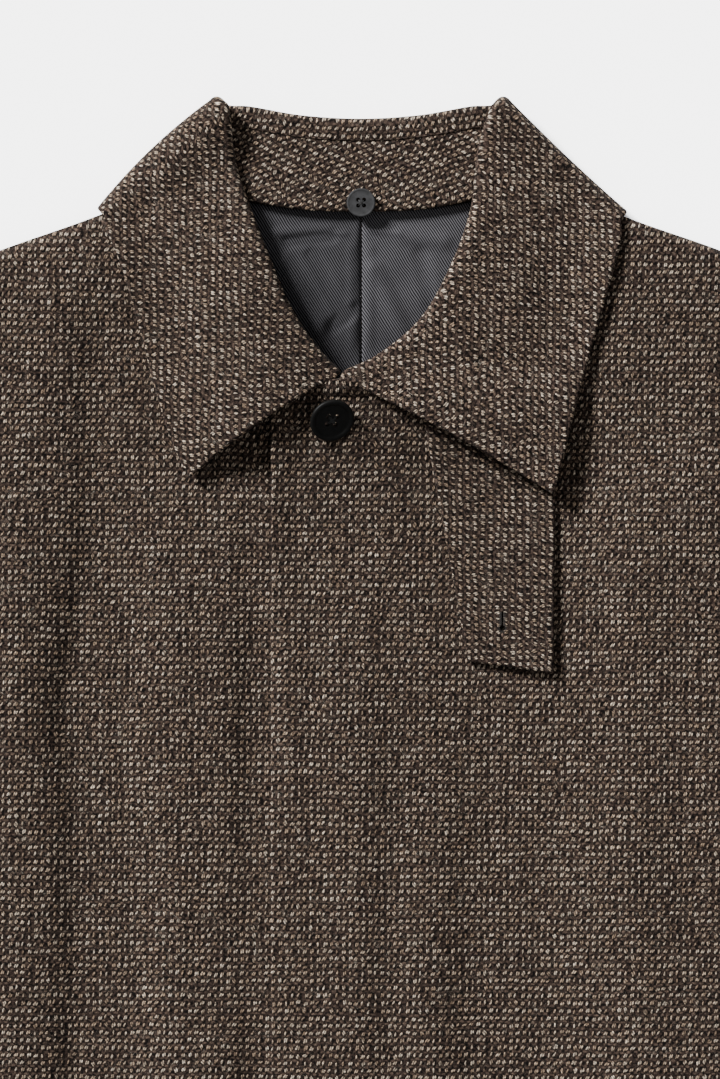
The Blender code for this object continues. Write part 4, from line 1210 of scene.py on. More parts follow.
def rim_share(distance: float, half: float) -> float:
    """Share of the wall that is left this far in from a rounded edge."""
    share = 1.0 - min(max(distance / half, 0.0), 1.0)
    return max(math.sqrt(max(1.0 - share * share, 0.0)), 0.04)


@dataclass
class Wall:
    """Closed cloth wall between two grids of points, with the cloth's own UV map."""

    upper: Grid
    lower: Grid
    place: Callable[[int, int, int, int], Corner]

    @classmethod
    def about(
        cls,
        grid: Grid,
        half: Callable[[int, int], float],
        place: Callable[[int, int, int, int], Corner],
        press: Callable[[int, int], float] | None = None,
    ) -> "Wall":
        """Wall that stands off both sides of a middle surface.

        Args:
            grid: Points of the middle surface.
            half: Half of the wall's thickness at a row and column.
            place: Place on the cloth of a corner of a face.
            press: How far the upper skin is pressed in at a row and column.

        Returns:
            The wall.
        """
        normals = normals_of(grid)
        upper, lower = [], []
        for i, (points, ways) in enumerate(zip(grid, normals)):
            over, under = [], []
            for j, (point, way) in enumerate(zip(points, ways)):
                thick = half(i, j)
                pressed = press(i, j) if press else 0.0
                over.append(point + way * (thick - pressed))
                under.append(point - way * thick)
            upper.append(over)
            lower.append(under)
        return cls(upper, lower, place)

    def mesh(self, name: str) -> bpy.types.Mesh:
        """The wall as one closed mesh in metres."""
        rows, columns = len(self.upper), len(self.upper[0])
        skins = (*self.upper, *self.lower)
        points = [to_metres(point) for line in skins for point in line]
        below = rows * columns
        faces, cells = [], []
        for i in range(rows - 1):
            for j in range(columns - 1):
                corners = [(i, j), (i + 1, j), (i + 1, j + 1), (i, j + 1)]
                ids = [a * columns + b for a, b in corners]
                faces.append(ids)
                cells.append((i, j, corners))
                faces.append([below + k for k in ids[::-1]])
                cells.append((i, j, corners[::-1]))
        rim = [(0, j) for j in range(columns - 1)]
        rim += [(i, columns - 1) for i in range(rows - 1)]
        rim += [(rows - 1, j) for j in range(columns - 1, 0, -1)]
        rim += [(i, 0) for i in range(rows - 1, 0, -1)]
        for (a, b), (c, d) in zip(rim, rim[1:] + rim[:1]):
            first, second = a * columns + b, c * columns + d
            faces.append([first, second, below + second, below + first])
            cell = (min(a, c, rows - 2), min(b, d, columns - 2))
            cells.append((*cell, [(a, b), (c, d), (c, d), (a, b)]))
        places = [self.place(i, j, a, b) for i, j, corners in cells for a, b in corners]
        return cloth_mesh(name, points, faces, places)


def patch(
    top: Callable[[float], Vector],
    bottom: Callable[[float], Vector],
    left: Callable[[float], Vector],
    right: Callable[[float], Vector],
    s: float,
    t: float,
) -> Vector:
    """Point in plan inside four edges: s runs from left to right, t from top to bottom."""
    across = top(s) * (1 - t) + bottom(s) * t
    along = left(t) * (1 - s) + right(t) * s
    corners = top(0.0) * (1 - s) * (1 - t) + top(1.0) * s * (1 - t)
    corners += bottom(0.0) * (1 - s) * t + bottom(1.0) * s * t
    return across + along - corners


def even_steps(first: float, last: float, step: float) -> list[float]:
    """Values from first to last, about one step apart, without the first."""
    count = max(round((last - first) / step), 1)
    return [first + (last - first) * k / count for k in range(1, count + 1)]


def edge_shares(length: float, step: float, both: bool = True) -> list[float]:
    """Shares along a length, close together at its end, and at its start too if both."""
    near = [distance / length for distance in EDGE_STEPS]
    start = near if both else [0.0]
    middle = even_steps(start[-1], 1.0 - near[-1], step / length)
    return [*start, *middle, *(1.0 - share for share in reversed(near[:-1]))]


@dataclass
class Front:
    """One front: neck, shoulder, armhole, side seam and hem round a draped wall."""

    side: int
    node: str
    row_step: float = 5.0
    column_count: int = 70
    grooves: tuple[tuple[float, float, float], ...] = ()
    neck_drops: tuple[float, float] = (102.0, 118.0)
    throat_room: float = -3.0
    # Lip of the top edge at the throat: height, middle, half width, and where it ends
    lip: tuple[float, float, float] = (4.6, -8.0, 20.0)
    lip_drops: tuple[float, float] = (161.5, 166.0)
    lines: dict[str, list[Vector]] = field(default_factory=dict)

    def __post_init__(self) -> None:
        """Work out the panel's edges."""
        leaf = RIGHT_LEAF if self.side < 0 else LEFT_LEAF
        edge = []
        for roll_x, roll_drop, _, _, _, _, neck_x, neck_drop, _ in leaf:
            room = self.throat_room if not edge and self.side > 0 else NECK_SEAM_ROOM
            away = Vector((neck_x - roll_x, neck_drop - roll_drop)).normalized() * room
            edge.append((neck_x + away.x, neck_drop + away.y))
        edge.append((self.side * (NECK_HALF + 0.4), NECK_SIDE_DROP + 1.0))
        self.neck_edge = edge[::-1]
        self.closing_x = FLY_STITCH_X if self.side < 0 else FLY_EDGE_X
        self.length = SIDE[-1][1] - SHOULDER[-1][1]

    def top(self, s: float) -> Vector:
        """Shoulder edge."""
        start, end = NECK_HALF + 0.4, SHOULDER[-1][0] - WALL / 2
        x = start + (end - start) * s
        return Vector((self.side * x, height_at(SHOULDER, x) + WALL / 2))

    def bottom(self, s: float) -> Vector:
        """Hem."""
        end = self.side * (SIDE[-1][0] - WALL / 2)
        x = self.closing_x + (end - self.closing_x) * s
        return Vector((x, LENGTH - HEM_RISE * (x / SIDE[-1][0]) ** 2))

    def left(self, t: float) -> Vector:
        """Neck seam, top edge and closing edge."""
        neck_share, corner_share = (drop / self.length for drop in self.neck_drops)
        corner = Vector((self.closing_x, FRONT_TOP_DROP + 2.0))
        if t < neck_share:
            return Vector(curve(self.neck_edge, t / neck_share))
        if t < corner_share:
            share = (t - neck_share) / (corner_share - neck_share)
            return Vector(self.neck_edge[-1]).lerp(corner, share)
        return corner.lerp(self.bottom(0.0), (t - corner_share) / (1.0 - corner_share))

    def right(self, t: float) -> Vector:
        """Armhole and side seam."""
        drop = SHOULDER[-1][1] + self.length * t
        if drop < SIDE[0][1]:
            inset = WALL / 2 * ease(ARMHOLE_END, SIDE[0][1], drop)
            return Vector((self.side * (width_at(ARMHOLE, drop) - inset), drop))
        return Vector((self.side * (width_at(SIDE, drop) - WALL / 2), drop))

    def level(self, x: float, drop: float) -> float:
        """Middle height of this front, its top edge pushed up under the leaves at the throat."""
        if self.side < 0:
            return BED.front_level(x, drop)
        height, middle, half_width = self.lip
        lip = height * bell(x - middle, half_width) * (1.0 - ease(*self.lip_drops, drop))
        return BED.left_level(x, drop) + lip

    def wall(self, x: float) -> float:
        """Thickness of this front."""
        return WALL if self.side < 0 else BED.left_wall(x)

    def build(self) -> bpy.types.Object:
        """Make the front's wall with its sewn grooves and rounded edges."""
        turn = [EDGE_TURN * (1.0 - math.cos(math.radians(step))) for step in range(0, 91, 15)]
        drops = [*turn, *even_steps(turn[-1], self.length, self.row_step)]
        width = SIDE[-1][0] - SHOULDER[0][0]
        near = [step / width for step in RIM_STEPS]
        far = [1.0 - step / width for step in reversed(turn)]
        middle = even_steps(near[-1], far[0], (far[0] - near[-1]) / self.column_count)
        columns = [*near, *middle, *far[1:]]
        grid = []
        for drop in drops:
            line = []
            for s in columns:
                plan = patch(self.top, self.bottom, self.left, self.right, s, drop / self.length)
                line.append(spot(plan.x, plan.y, self.level(plan.x, plan.y)))
            grid.append(line)

        def half(i: int, j: int) -> float:
            """Half thickness, rounded off at the closing edge and the hem."""
            point = grid[i][j]
            thick = self.wall(point.x) / 2
            inward = min((point - grid[i][0]).length, (point - grid[-1][j]).length)
            return thick * rim_share(inward, thick)

        def press(i: int, j: int) -> float:
            """Depth of the sewn grooves."""
            x, drop = grid[i][j].x, -grid[i][j].y
            depth = 0.0
            for groove_x, width, deep in self.grooves:
                sway = 0.25 * ripple(0.0, drop, 60.0, groove_x)
                depth += groove(x - groove_x - sway, width, deep)
            return depth * ease(FRONT_TOP_DROP, FRONT_TOP_DROP + 20.0, drop)

        wall = Wall.about(grid, half, lambda i, j, a, b: (grid[a][b].x, grid[a][b].y), press)
        piece = put_piece(f"tweed_{self.node}", wall.mesh(self.node), BODY_TWEED, [self.node])
        return piece


@dataclass
class Back:
    """Back: flat on the surface, and over the collar's fall behind the neck."""

    node: str = "back"
    inset: float = WALL + 2.2
    neck_share: float = 0.36
    neck_inset: float = 2.0
    neck_rise: float = 3.0
    row_step: float = 9.0
    column_count: int = 72

    def top(self, s: float) -> Vector:
        """Neck and shoulders."""
        across = 2.0 * s - 1.0
        side = -1.0 if across < 0 else 1.0
        share = abs(across)
        neck_half = NECK_HALF - self.neck_inset
        if share < self.neck_share:
            x = share / self.neck_share * neck_half
            return Vector((side * x, BED.neck_back(x) - self.neck_rise))
        end = SHOULDER[-1][0] - ARMHOLE_GAP
        x = neck_half + (end - neck_half) * (share - self.neck_share) / (1.0 - self.neck_share)
        half = [(place, drop + self.inset) for place, drop in SHOULDER]
        return Vector((side * x, height_at(half, max(x, NECK_HALF))))

    def bottom(self, s: float) -> Vector:
        """Hem."""
        x = (2.0 * s - 1.0) * (SIDE[-1][0] - self.inset)
        return Vector((x, LENGTH - HEM_RISE * (x / SIDE[-1][0]) ** 2))

    def right(self, t: float) -> Vector:
        """Armhole and side seam at the viewer's right."""
        drop = SHOULDER[-1][1] + (SIDE[-1][1] - SHOULDER[-1][1]) * t
        rows = ARMHOLE if drop < SIDE[0][1] else SIDE
        inward = ARMHOLE_GAP + (self.inset - ARMHOLE_GAP) * ease(ARMHOLE_END, SIDE[0][1], drop)
        start = self.top(1.0)
        return Vector((width_at(rows, drop) - inward, start.y + (self.bottom(1.0).y - start.y) * t))

    def left(self, t: float) -> Vector:
        """Armhole and side seam at the viewer's left."""
        x, drop = self.right(t)
        return Vector((-x, drop))

    def build(self) -> bpy.types.Object:
        """Make the back's wall."""
        shares = [0.0, *even_steps(0.0, 1.0, self.row_step / LENGTH)]
        columns = [k / self.column_count for k in range(self.column_count + 1)]
        upper, lower = [], []
        for t in shares:
            plans = [patch(self.top, self.bottom, self.left, self.right, s, t) for s in columns]
            floors = [BED.back_floor(plan.x, plan.y) for plan in plans]
            lower.append([spot(plan.x, plan.y, floor) for plan, floor in zip(plans, floors)])
            upper.append([spot(plan.x, plan.y, floor + WALL) for plan, floor in zip(plans, floors)])
        wall = Wall(upper, lower, lambda i, j, a, b: (upper[a][b].x, upper[a][b].y))
        piece = put_piece("tweed_back", wall.mesh(self.node), BODY_TWEED, [self.node])
        return piece


@dataclass
class Sleeve:
    """Sleeve laid flat: a tube with two folded edges, open at the armhole and the cuff."""

    side: int
    node: str
    ring_count: int = 110
    flat_count: int = 34
    turn_degrees: tuple[int, ...] = (67, 45, 22, 0, -22, -45, -67)
    seam_gap: float = 0.05
    cloth_length: float = 600.0
    crumple: float = 0.5

    def plan(self, s: float, t: float) -> Vector:
        """Place in plan at a share of the length and of the width."""
        drop = SHOULDER[-1][1] + (SIDE[0][1] - SHOULDER[-1][1]) * t
        start, end = Vector(SLEEVE_OUTER[0]), Vector(SLEEVE_INNER[0])
        seam = Vector((width_at(ARMHOLE, drop) + self.seam_gap, drop)) - start.lerp(end, t)
        outer, inner = Vector(curve(SLEEVE_OUTER, s**0.9)), Vector(curve(SLEEVE_INNER, s))
        return outer.lerp(inner, t) + seam * (1.0 - ease(0.0, 0.3, s))

    def top_height(self, s: float, t: float) -> float:
        """Height of the upper side, with its soft folds."""
        height = SLEEVE_HEIGHT
        for (s0, t0), (s1, t1), half_width, rise in SLEEVE_FOLDS:
            run = Vector((s1 - s0, t1 - t0))
            here = Vector((s - s0, t - t0))
            share = min(max(here.dot(run) / run.length_squared, 0.0), 1.0)
            apart = (here - run * share).length
            height += rise * bell(share - 0.5, 0.6) * bell(apart, half_width)
        wave = ripple(s * self.cloth_length, t * 160.0, 34.0, 5.0 + self.side)
        height -= self.crumple * (wave + 0.5)
        middle = ease(0.0, 0.18, t) * (1.0 - ease(0.82, 1.0, t))
        return SLEEVE_HEIGHT + (height - SLEEVE_HEIGHT) * middle

    def ring(self, s: float, inset: float) -> list[tuple[Vector, Corner]]:
        """Loop of one section, inset from the outside, with its places on the cloth."""
        width = (self.plan(s, 1.0) - self.plan(s, 0.0)).length
        half = SLEEVE_HEIGHT / 2
        radius = half - inset
        flat = (width - SLEEVE_HEIGHT) / self.flat_count
        spread = [(half + k * flat) / width for k in range(self.flat_count + 1)]
        points = [(t, self.top_height(s, t) - inset, t * width) for t in spread]
        for degrees in self.turn_degrees:
            angle = math.radians(degrees)
            arc = width - half + half * math.radians(90 - degrees)
            inward = (half - radius * math.cos(angle)) / width
            points.append((1.0 - inward, half + radius * math.sin(angle), arc))
        for t in reversed(spread):
            points.append((t, inset, 2.0 * width - t * width + half))
        for degrees in self.turn_degrees[::-1]:
            angle = math.radians(degrees)
            arc = half - half * math.radians(90 - degrees)
            inward = (half - radius * math.cos(angle)) / width
            points.append((inward, half + radius * math.sin(angle), arc))
        loop = []
        for t, height, around in points:
            plan = self.plan(s, t)
            place = (self.side * around, -self.cloth_length * s)
            loop.append((spot(self.side * plan.x, plan.y, height), place))
        return loop

    def build(self) -> bpy.types.Object:
        """Make the sleeve's closed wall and its cloth map."""
        shares = [k / self.ring_count for k in range(self.ring_count + 1)]
        skins = [[self.ring(s, inset) for s in shares] for inset in (0.0, WALL)]
        around = len(skins[0][0])
        points = [to_metres(point) for skin in skins for loop in skin for point, _ in loop]
        cloth = [place for skin in skins for loop in skin for _, place in loop]
        below = len(shares) * around
        faces = []
        for skin in (0, below):
            for i in range(len(shares) - 1):
                for k in range(around):
                    n = (k + 1) % around
                    first, second = skin + i * around, skin + (i + 1) * around
                    faces.append([first + k, first + n, second + n, second + k])
        for start in (0, (len(shares) - 1) * around):
            for k in range(around):
                n = (k + 1) % around
                faces.append([start + k, start + n, below + start + n, below + start + k])
        places = [cloth[corner] for face in faces for corner in face]
        mesh = cloth_mesh(self.node, points, faces, places)
        piece = put_piece(f"tweed_{self.node}", mesh, BODY_TWEED, [self.node])
        return piece


@dataclass
class Collar:
    """Upper collar: strip inside the fold, roll, and fall all round."""

    node: str = "collar"
    row_step: float = 3.4
    roll_steps: int = 14
    fall_steps: int = 24
    strip_shares: tuple[float, ...] = (1.0, 0.96, 0.8, 0.6, 0.4, 0.2)
    groove_width: float = 1.3
    groove_depth: float = 0.85
    edge_line: list[Vector] = field(default_factory=list)

    def stops(self) -> list[float]:
        """Places along the collar, close together at both front edges."""
        reach = sum(
            (Section(b).fall(0.5) - Section(a).fall(0.5)).length
            for a, b in zip(FORM.stops, FORM.stops[1:])
        )
        return edge_shares(reach, self.row_step)

    def build(self) -> bpy.types.Object:
        """Make the collar's wall, its rounded and sewn edge, and its cloth map."""
        stops = self.stops()
        sections = [Section(at) for at in stops]
        grid, insets = [], []
        for section in sections:
            strip = section.strip()
            line = [section.band(strip * share) for share in self.strip_shares]
            line += [section.roll(k / self.roll_steps) for k in range(self.roll_steps + 1)]
            length = (section.edge - section.roll(1.0)).length
            reach = 1.0 - EDGE_STEPS[-1] / length
            shares = [k / self.fall_steps * reach for k in range(1, self.fall_steps + 1)]
            shares += [1.0 - step / length for step in reversed(EDGE_STEPS[:-1])]
            line += [section.fall(share) for share in shares]
            grid.append(line)
            insets.append([length * (1.0 - share) for share in shares])
        first_fall = len(self.strip_shares) + self.roll_steps + 1

        def inset(i: int, j: int) -> tuple[float, float]:
            """Distances in from the outer edge and from the nearer front edge."""
            outer = insets[i][j - first_fall] if j >= first_fall else 99.0
            front = min((grid[i][j] - grid[k][j]).length for k in (0, -1))
            return outer, front

        def half(i: int, j: int) -> float:
            """Half thickness, rounded off at the edges."""
            return COLLAR_WALL / 2 * rim_share(min(inset(i, j)), COLLAR_WALL / 2)

        def press(i: int, j: int) -> float:
            """Sewn groove near the edge, with the cloth a little puckered along it."""
            outer, front = inset(i, j)
            near = min(outer, front)
            point = grid[i][j]
            pucker = 0.75 + 0.5 * ripple(point.x, -point.y, 7.0, 4.4)
            depth = groove(near - STITCH_INSET, self.groove_width, self.groove_depth * pucker)
            uneven = 0.3 * (ripple(point.x, -point.y, 15.0, 2.2) + 0.5)
            return depth + uneven * ease(0.0, 3.0, near)

        wall = Wall.about(grid, half, CollarMap(grid, sections, first_fall).place, press)
        sewn = EDGE_STEPS.index(SEWN_STEP)
        self.edge_line = [line[-sewn - 1] for line in wall.upper[sewn:-sewn]]
        piece = put_piece("tweed_collar", wall.mesh(self.node), COLLAR_TWEED, [self.node])
        return piece


@dataclass
class CollarMap:
    """Where each corner of the collar lies on its flat cloth."""

    grid: Grid
    sections: list[Section]
    first_fall: int
    crest: int = 13
    out_x: float = 0.70
    out_up: float = 0.71

    def __post_init__(self) -> None:
        """Lay both leaves flat in plan and run on over the shoulders by true length."""
        rows, columns = len(self.grid), len(self.grid[0])
        self.middle = rows // 2
        self.flat: list[list[Corner]] = [[(0.0, 0.0)] * columns for _ in range(rows)]
        self.far_side: list[Corner] = [(0.0, 0.0)] * columns
        leaf = [i for i, section in enumerate(self.sections) if section.degrees > 89.5]
        for i in leaf:
            self.flat[i] = [(self.lean(point), point.x) for point in self.grid[i]]
        self.run_on(max(i for i in leaf if i < self.middle), 1)
        near = self.flat[self.middle]
        self.run_on(min(i for i in leaf if i > self.middle), -1)
        self.far_side, self.flat[self.middle] = self.flat[self.middle], near
        crest = [line[self.crest] for line in self.grid]
        runs = [0.0]
        for before, after in zip(crest, crest[1:]):
            runs.append(runs[-1] + (after - before).length)
        self.strip = [
            self.strip_row(line, run - runs[self.middle]) for line, run in zip(self.grid, runs)
        ]

    def run_on(self, start: int, step: int) -> None:
        """Carry the flat cloth over one shoulder and on to the middle of the back."""
        side = -step
        for i in range(start + step, self.middle + step, step):
            under = self.sections[i].degrees < -89.5
            line = []
            for j, point in enumerate(self.grid[i]):
                before = self.grid[i - step][j]
                run = (point - before).length
                move = Vector((side * self.out_x, self.out_up))
                if under:
                    plan = (point - before).xy
                    move = (plan - 2.0 * plan.dot(move) * move).normalized()
                down, across = self.flat[i - step][j]
                line.append((down - move.y * run, across + move.x * run))
            self.flat[i] = line

    @staticmethod
    def lean(point: Vector) -> float:
        """Cloth place down a leaf, turned a little beside the roll of the viewer's right leaf."""
        drop = -point.y
        if point.x < 0.0:
            return drop + 0.05 * point.x
        return drop + 0.20 * min(point.x - 0.5 * drop, 0.0) - 0.04 * point.x

    def strip_row(self, line: Sequence[Vector], run: float) -> list[Corner]:
        """Cloth places on the strip inside the fold, along the fold and across it."""
        across = [0.0]
        for before, after in zip(line[: self.first_fall - 1], line[1 : self.first_fall]):
            across.append(across[-1] + (after - before).length)
        return [(run, distance - across[self.crest]) for distance in across]

    def place(self, i: int, j: int, a: int, b: int) -> Corner:
        """Place of a corner, on the strip's cloth or on the fall's."""
        turning = self.first_fall - 1
        far = a == self.middle and i >= self.middle
        if j >= turning:
            return self.far_side[b] if far else self.flat[a][b]
        section = self.sections[i]
        if section.degrees <= 80.0:
            return self.strip[a][b]
        down, side = self.far_side[turning] if far else self.flat[a][turning]
        across = self.strip[a][turning][1] - self.strip[a][b][1]
        return (down - section.up.y * across, side + section.up.x * across)


@dataclass
class Band:
    """Stand of the collar, cut on the bias, from the seam under the fold to the neck seam."""

    node: str = "collar_band"
    row_step: float = 3.6
    column_count: int = 22
    length: float = 640.0
    seam: float = -0.8
    bias: float = math.radians(30.0)

    def build(self) -> bpy.types.Object:
        """Make the band's wall, softly rolled at both seams."""
        stops = [0.0, *even_steps(0.0, 1.0, self.row_step / self.length)]
        turn = Matrix.Rotation(self.bias, 2)
        grid = []
        for at in stops:
            section = Section(at)
            length = (section.neck - section.roll(0.0)).length
            first = section.strip() + self.seam / length
            last = 1.0 - SEAM / length
            step = (last - first) / self.column_count
            grid.append([section.band(first + step * k) for k in range(self.column_count + 1)])

        def half(i: int, j: int) -> float:
            """Half thickness, rounded into both seams."""
            above, below = ((grid[i][j] - grid[i][k]).length for k in (0, -1))
            return BAND_WALL / 2 * rim_share(min(above + 2.0, below + 0.8), BAND_WALL / 2)

        def press(i: int, j: int) -> float:
            """Shallow unevenness of bias-cut cloth."""
            point = grid[i][j]
            return 0.35 * (ripple(point.x, -point.y, 11.0, 6.1) + 0.5)

        def place(i: int, j: int, a: int, b: int) -> Corner:
            """Cloth place, turned to the bias."""
            return tuple(turn @ grid[a][b].xy)

        wall = Wall.about(grid, half, place, press)
        piece = put_piece("tweed_collar_band", wall.mesh(self.node), BAND_TWEED, [self.node])
        return piece


@dataclass
class Lining:
    """Half of the back lining that shows inside the neck, to the centre seam."""

    side: int
    node: str
    row_count: int = 96
    column_count: int = 66
    lower_share: float = 0.4

    @staticmethod
    def pucker(x: float, drop: float) -> float:
        """Rise of the lining's soft puckers, all above its flat lay."""
        rise = 0.9
        here = Vector((x, drop))
        for x0, drop0, x1, drop1, half_width, height in LINING_PUCKERS:
            start, run = Vector((x0, drop0)), Vector((x1 - x0, drop1 - drop0))
            share = min(max((here - start).dot(run) / run.length_squared, 0.0), 1.0)
            rise += height * bell((here - start - run * share).length, half_width)
        rise += 0.8 * ripple(x, drop, 16.0, 9.3)
        return max(rise, 0.0)

    def build(self) -> bpy.types.Object:
        """Make the lining's wall, gathered softly at the seam."""
        upper, lower = [], []
        for i in range(self.row_count + 1):
            t = i / self.row_count
            over, under = [], []
            for j in range(self.column_count + 1):
                share = j / self.column_count
                x = BACK_SEAM_X + self.side * (0.2 + (LINING_HALF - 1.0) * share)
                start = BED.neck_back(x) - 2.5 + 4.0 * share
                drop = start + (LINING_END - start) * t
                floor = BED.back_floor(x, drop) + WALL + LAY
                free = ease(2.0, 20.0, drop - start) * (1.0 - ease(52.0, 66.0, abs(x)))
                free *= 1.0 - ease(126.0, 152.0, drop)
                near = abs(x - BACK_SEAM_X)
                rise = self.pucker(x, drop) * free * ease(0.0, 3.0, near)
                thick = LINING_WALL * rim_share(near - 0.1, 0.9)
                under.append(spot(x, drop, floor + self.lower_share * rise))
                over.append(spot(x, drop, floor + thick + rise))
            upper.append(over)
            lower.append(under)
        wall = Wall(upper, lower, lambda i, j, a, b: (upper[a][b].x, upper[a][b].y))
        # The viewer's left half takes the darker copy of the satin: painted shade
        finish = LINING_SATIN if self.side > 0 else LINING_SATIN_PAINTED_SHADE
        piece = put_piece(f"satin_{self.node}", wall.mesh(self.node), finish, [self.node])
        return piece


@dataclass
class Tab:
    """Throat tab hanging from under the left leaf, with its keyhole buttonhole."""

    node: str = "throat_tab"
    row_step: float = 3.0
    groove_width: float = 1.0
    groove_depth: float = 0.8
    edge_line: list[Vector] = field(default_factory=list)

    def build(self) -> bpy.types.Object:
        """Make the tab's wall, then cut its buttonhole."""
        a, b, c, d = (Vector(corner) for corner in TAB_CORNERS)
        grid = []
        for t in edge_shares(TAB_LENGTH, self.row_step, both=False):
            line = []
            for s in edge_shares(TAB_WIDTH, self.row_step):
                plan = a.lerp(b, s).lerp(d.lerp(c, s), t)
                bed = BED.left_level(plan.x, plan.y) + BED.left_wall(plan.x) / 2
                lift = TAB_LAY + TAB_LIFT * ease(0.3, 1.0, t) * ease(0.0, 1.0, s)
                line.append(spot(plan.x, plan.y, bed + lift + TAB_WALL / 2))
            grid.append(line)

        def inward(i: int, j: int) -> float:
            """Distance in from the nearest free edge."""
            point = grid[i][j]
            return min((point - edge).length for edge in (grid[i][0], grid[i][-1], grid[-1][j]))

        def half(i: int, j: int) -> float:
            """Half thickness, rounded off at the edges."""
            return TAB_WALL / 2 * rim_share(inward(i, j), TAB_WALL / 2)

        def press(i: int, j: int) -> float:
            """Sewn groove near the edge."""
            near = inward(i, j)
            point = grid[i][j]
            uneven = 0.25 * (ripple(point.x, -point.y, 12.0, 1.7) + 0.5)
            depth = groove(near - STITCH_INSET, self.groove_width, self.groove_depth)
            return depth + uneven * ease(0.0, 3.0, near)

        wall = Wall.about(grid, half, lambda i, j, a, b: (-grid[a][b].y, grid[a][b].x), press)
        mesh = wall.mesh(self.node)
        inset = EDGE_STEPS.index(SEWN_STEP)
        side_a = [line[inset] for line in wall.upper[:-inset]]
        side_b = [line[-1 - inset] for line in wall.upper[:-inset]]
        foot = wall.upper[-1 - inset][inset:-inset]
        self.edge_line = [*side_a, *foot, *reversed(side_b)]
        piece = put_piece("tweed_throat_tab", mesh, TAB_TWEED, [self.node])
        self.cut(piece)
        return piece

    @staticmethod
    def cut(piece: bpy.types.Object) -> None:
        """Take the keyhole out of the tab."""
        x, drop = TAB_EYELET
        height, depth = 10.0, 30.0 * METRES
        middle = to_metres(spot(x, drop, height))
        bpy.ops.object.select_all(action="DESELECT")
        bpy.ops.mesh.primitive_cylinder_add(
            vertices=24, radius=EYELET_RADIUS * METRES, depth=depth, location=middle
        )
        eyelet = bpy.context.object
        middle = to_metres(spot(x + SLIT_SHIFT, drop - SLIT_LENGTH / 2, height))
        bpy.ops.mesh.primitive_cube_add(size=1.0, location=middle)
        slit = bpy.context.object
        slit.scale = (SLIT_WIDTH * METRES, SLIT_LENGTH * METRES, depth)
        for cutter in (eyelet, slit):
            cut_out(piece, cutter)


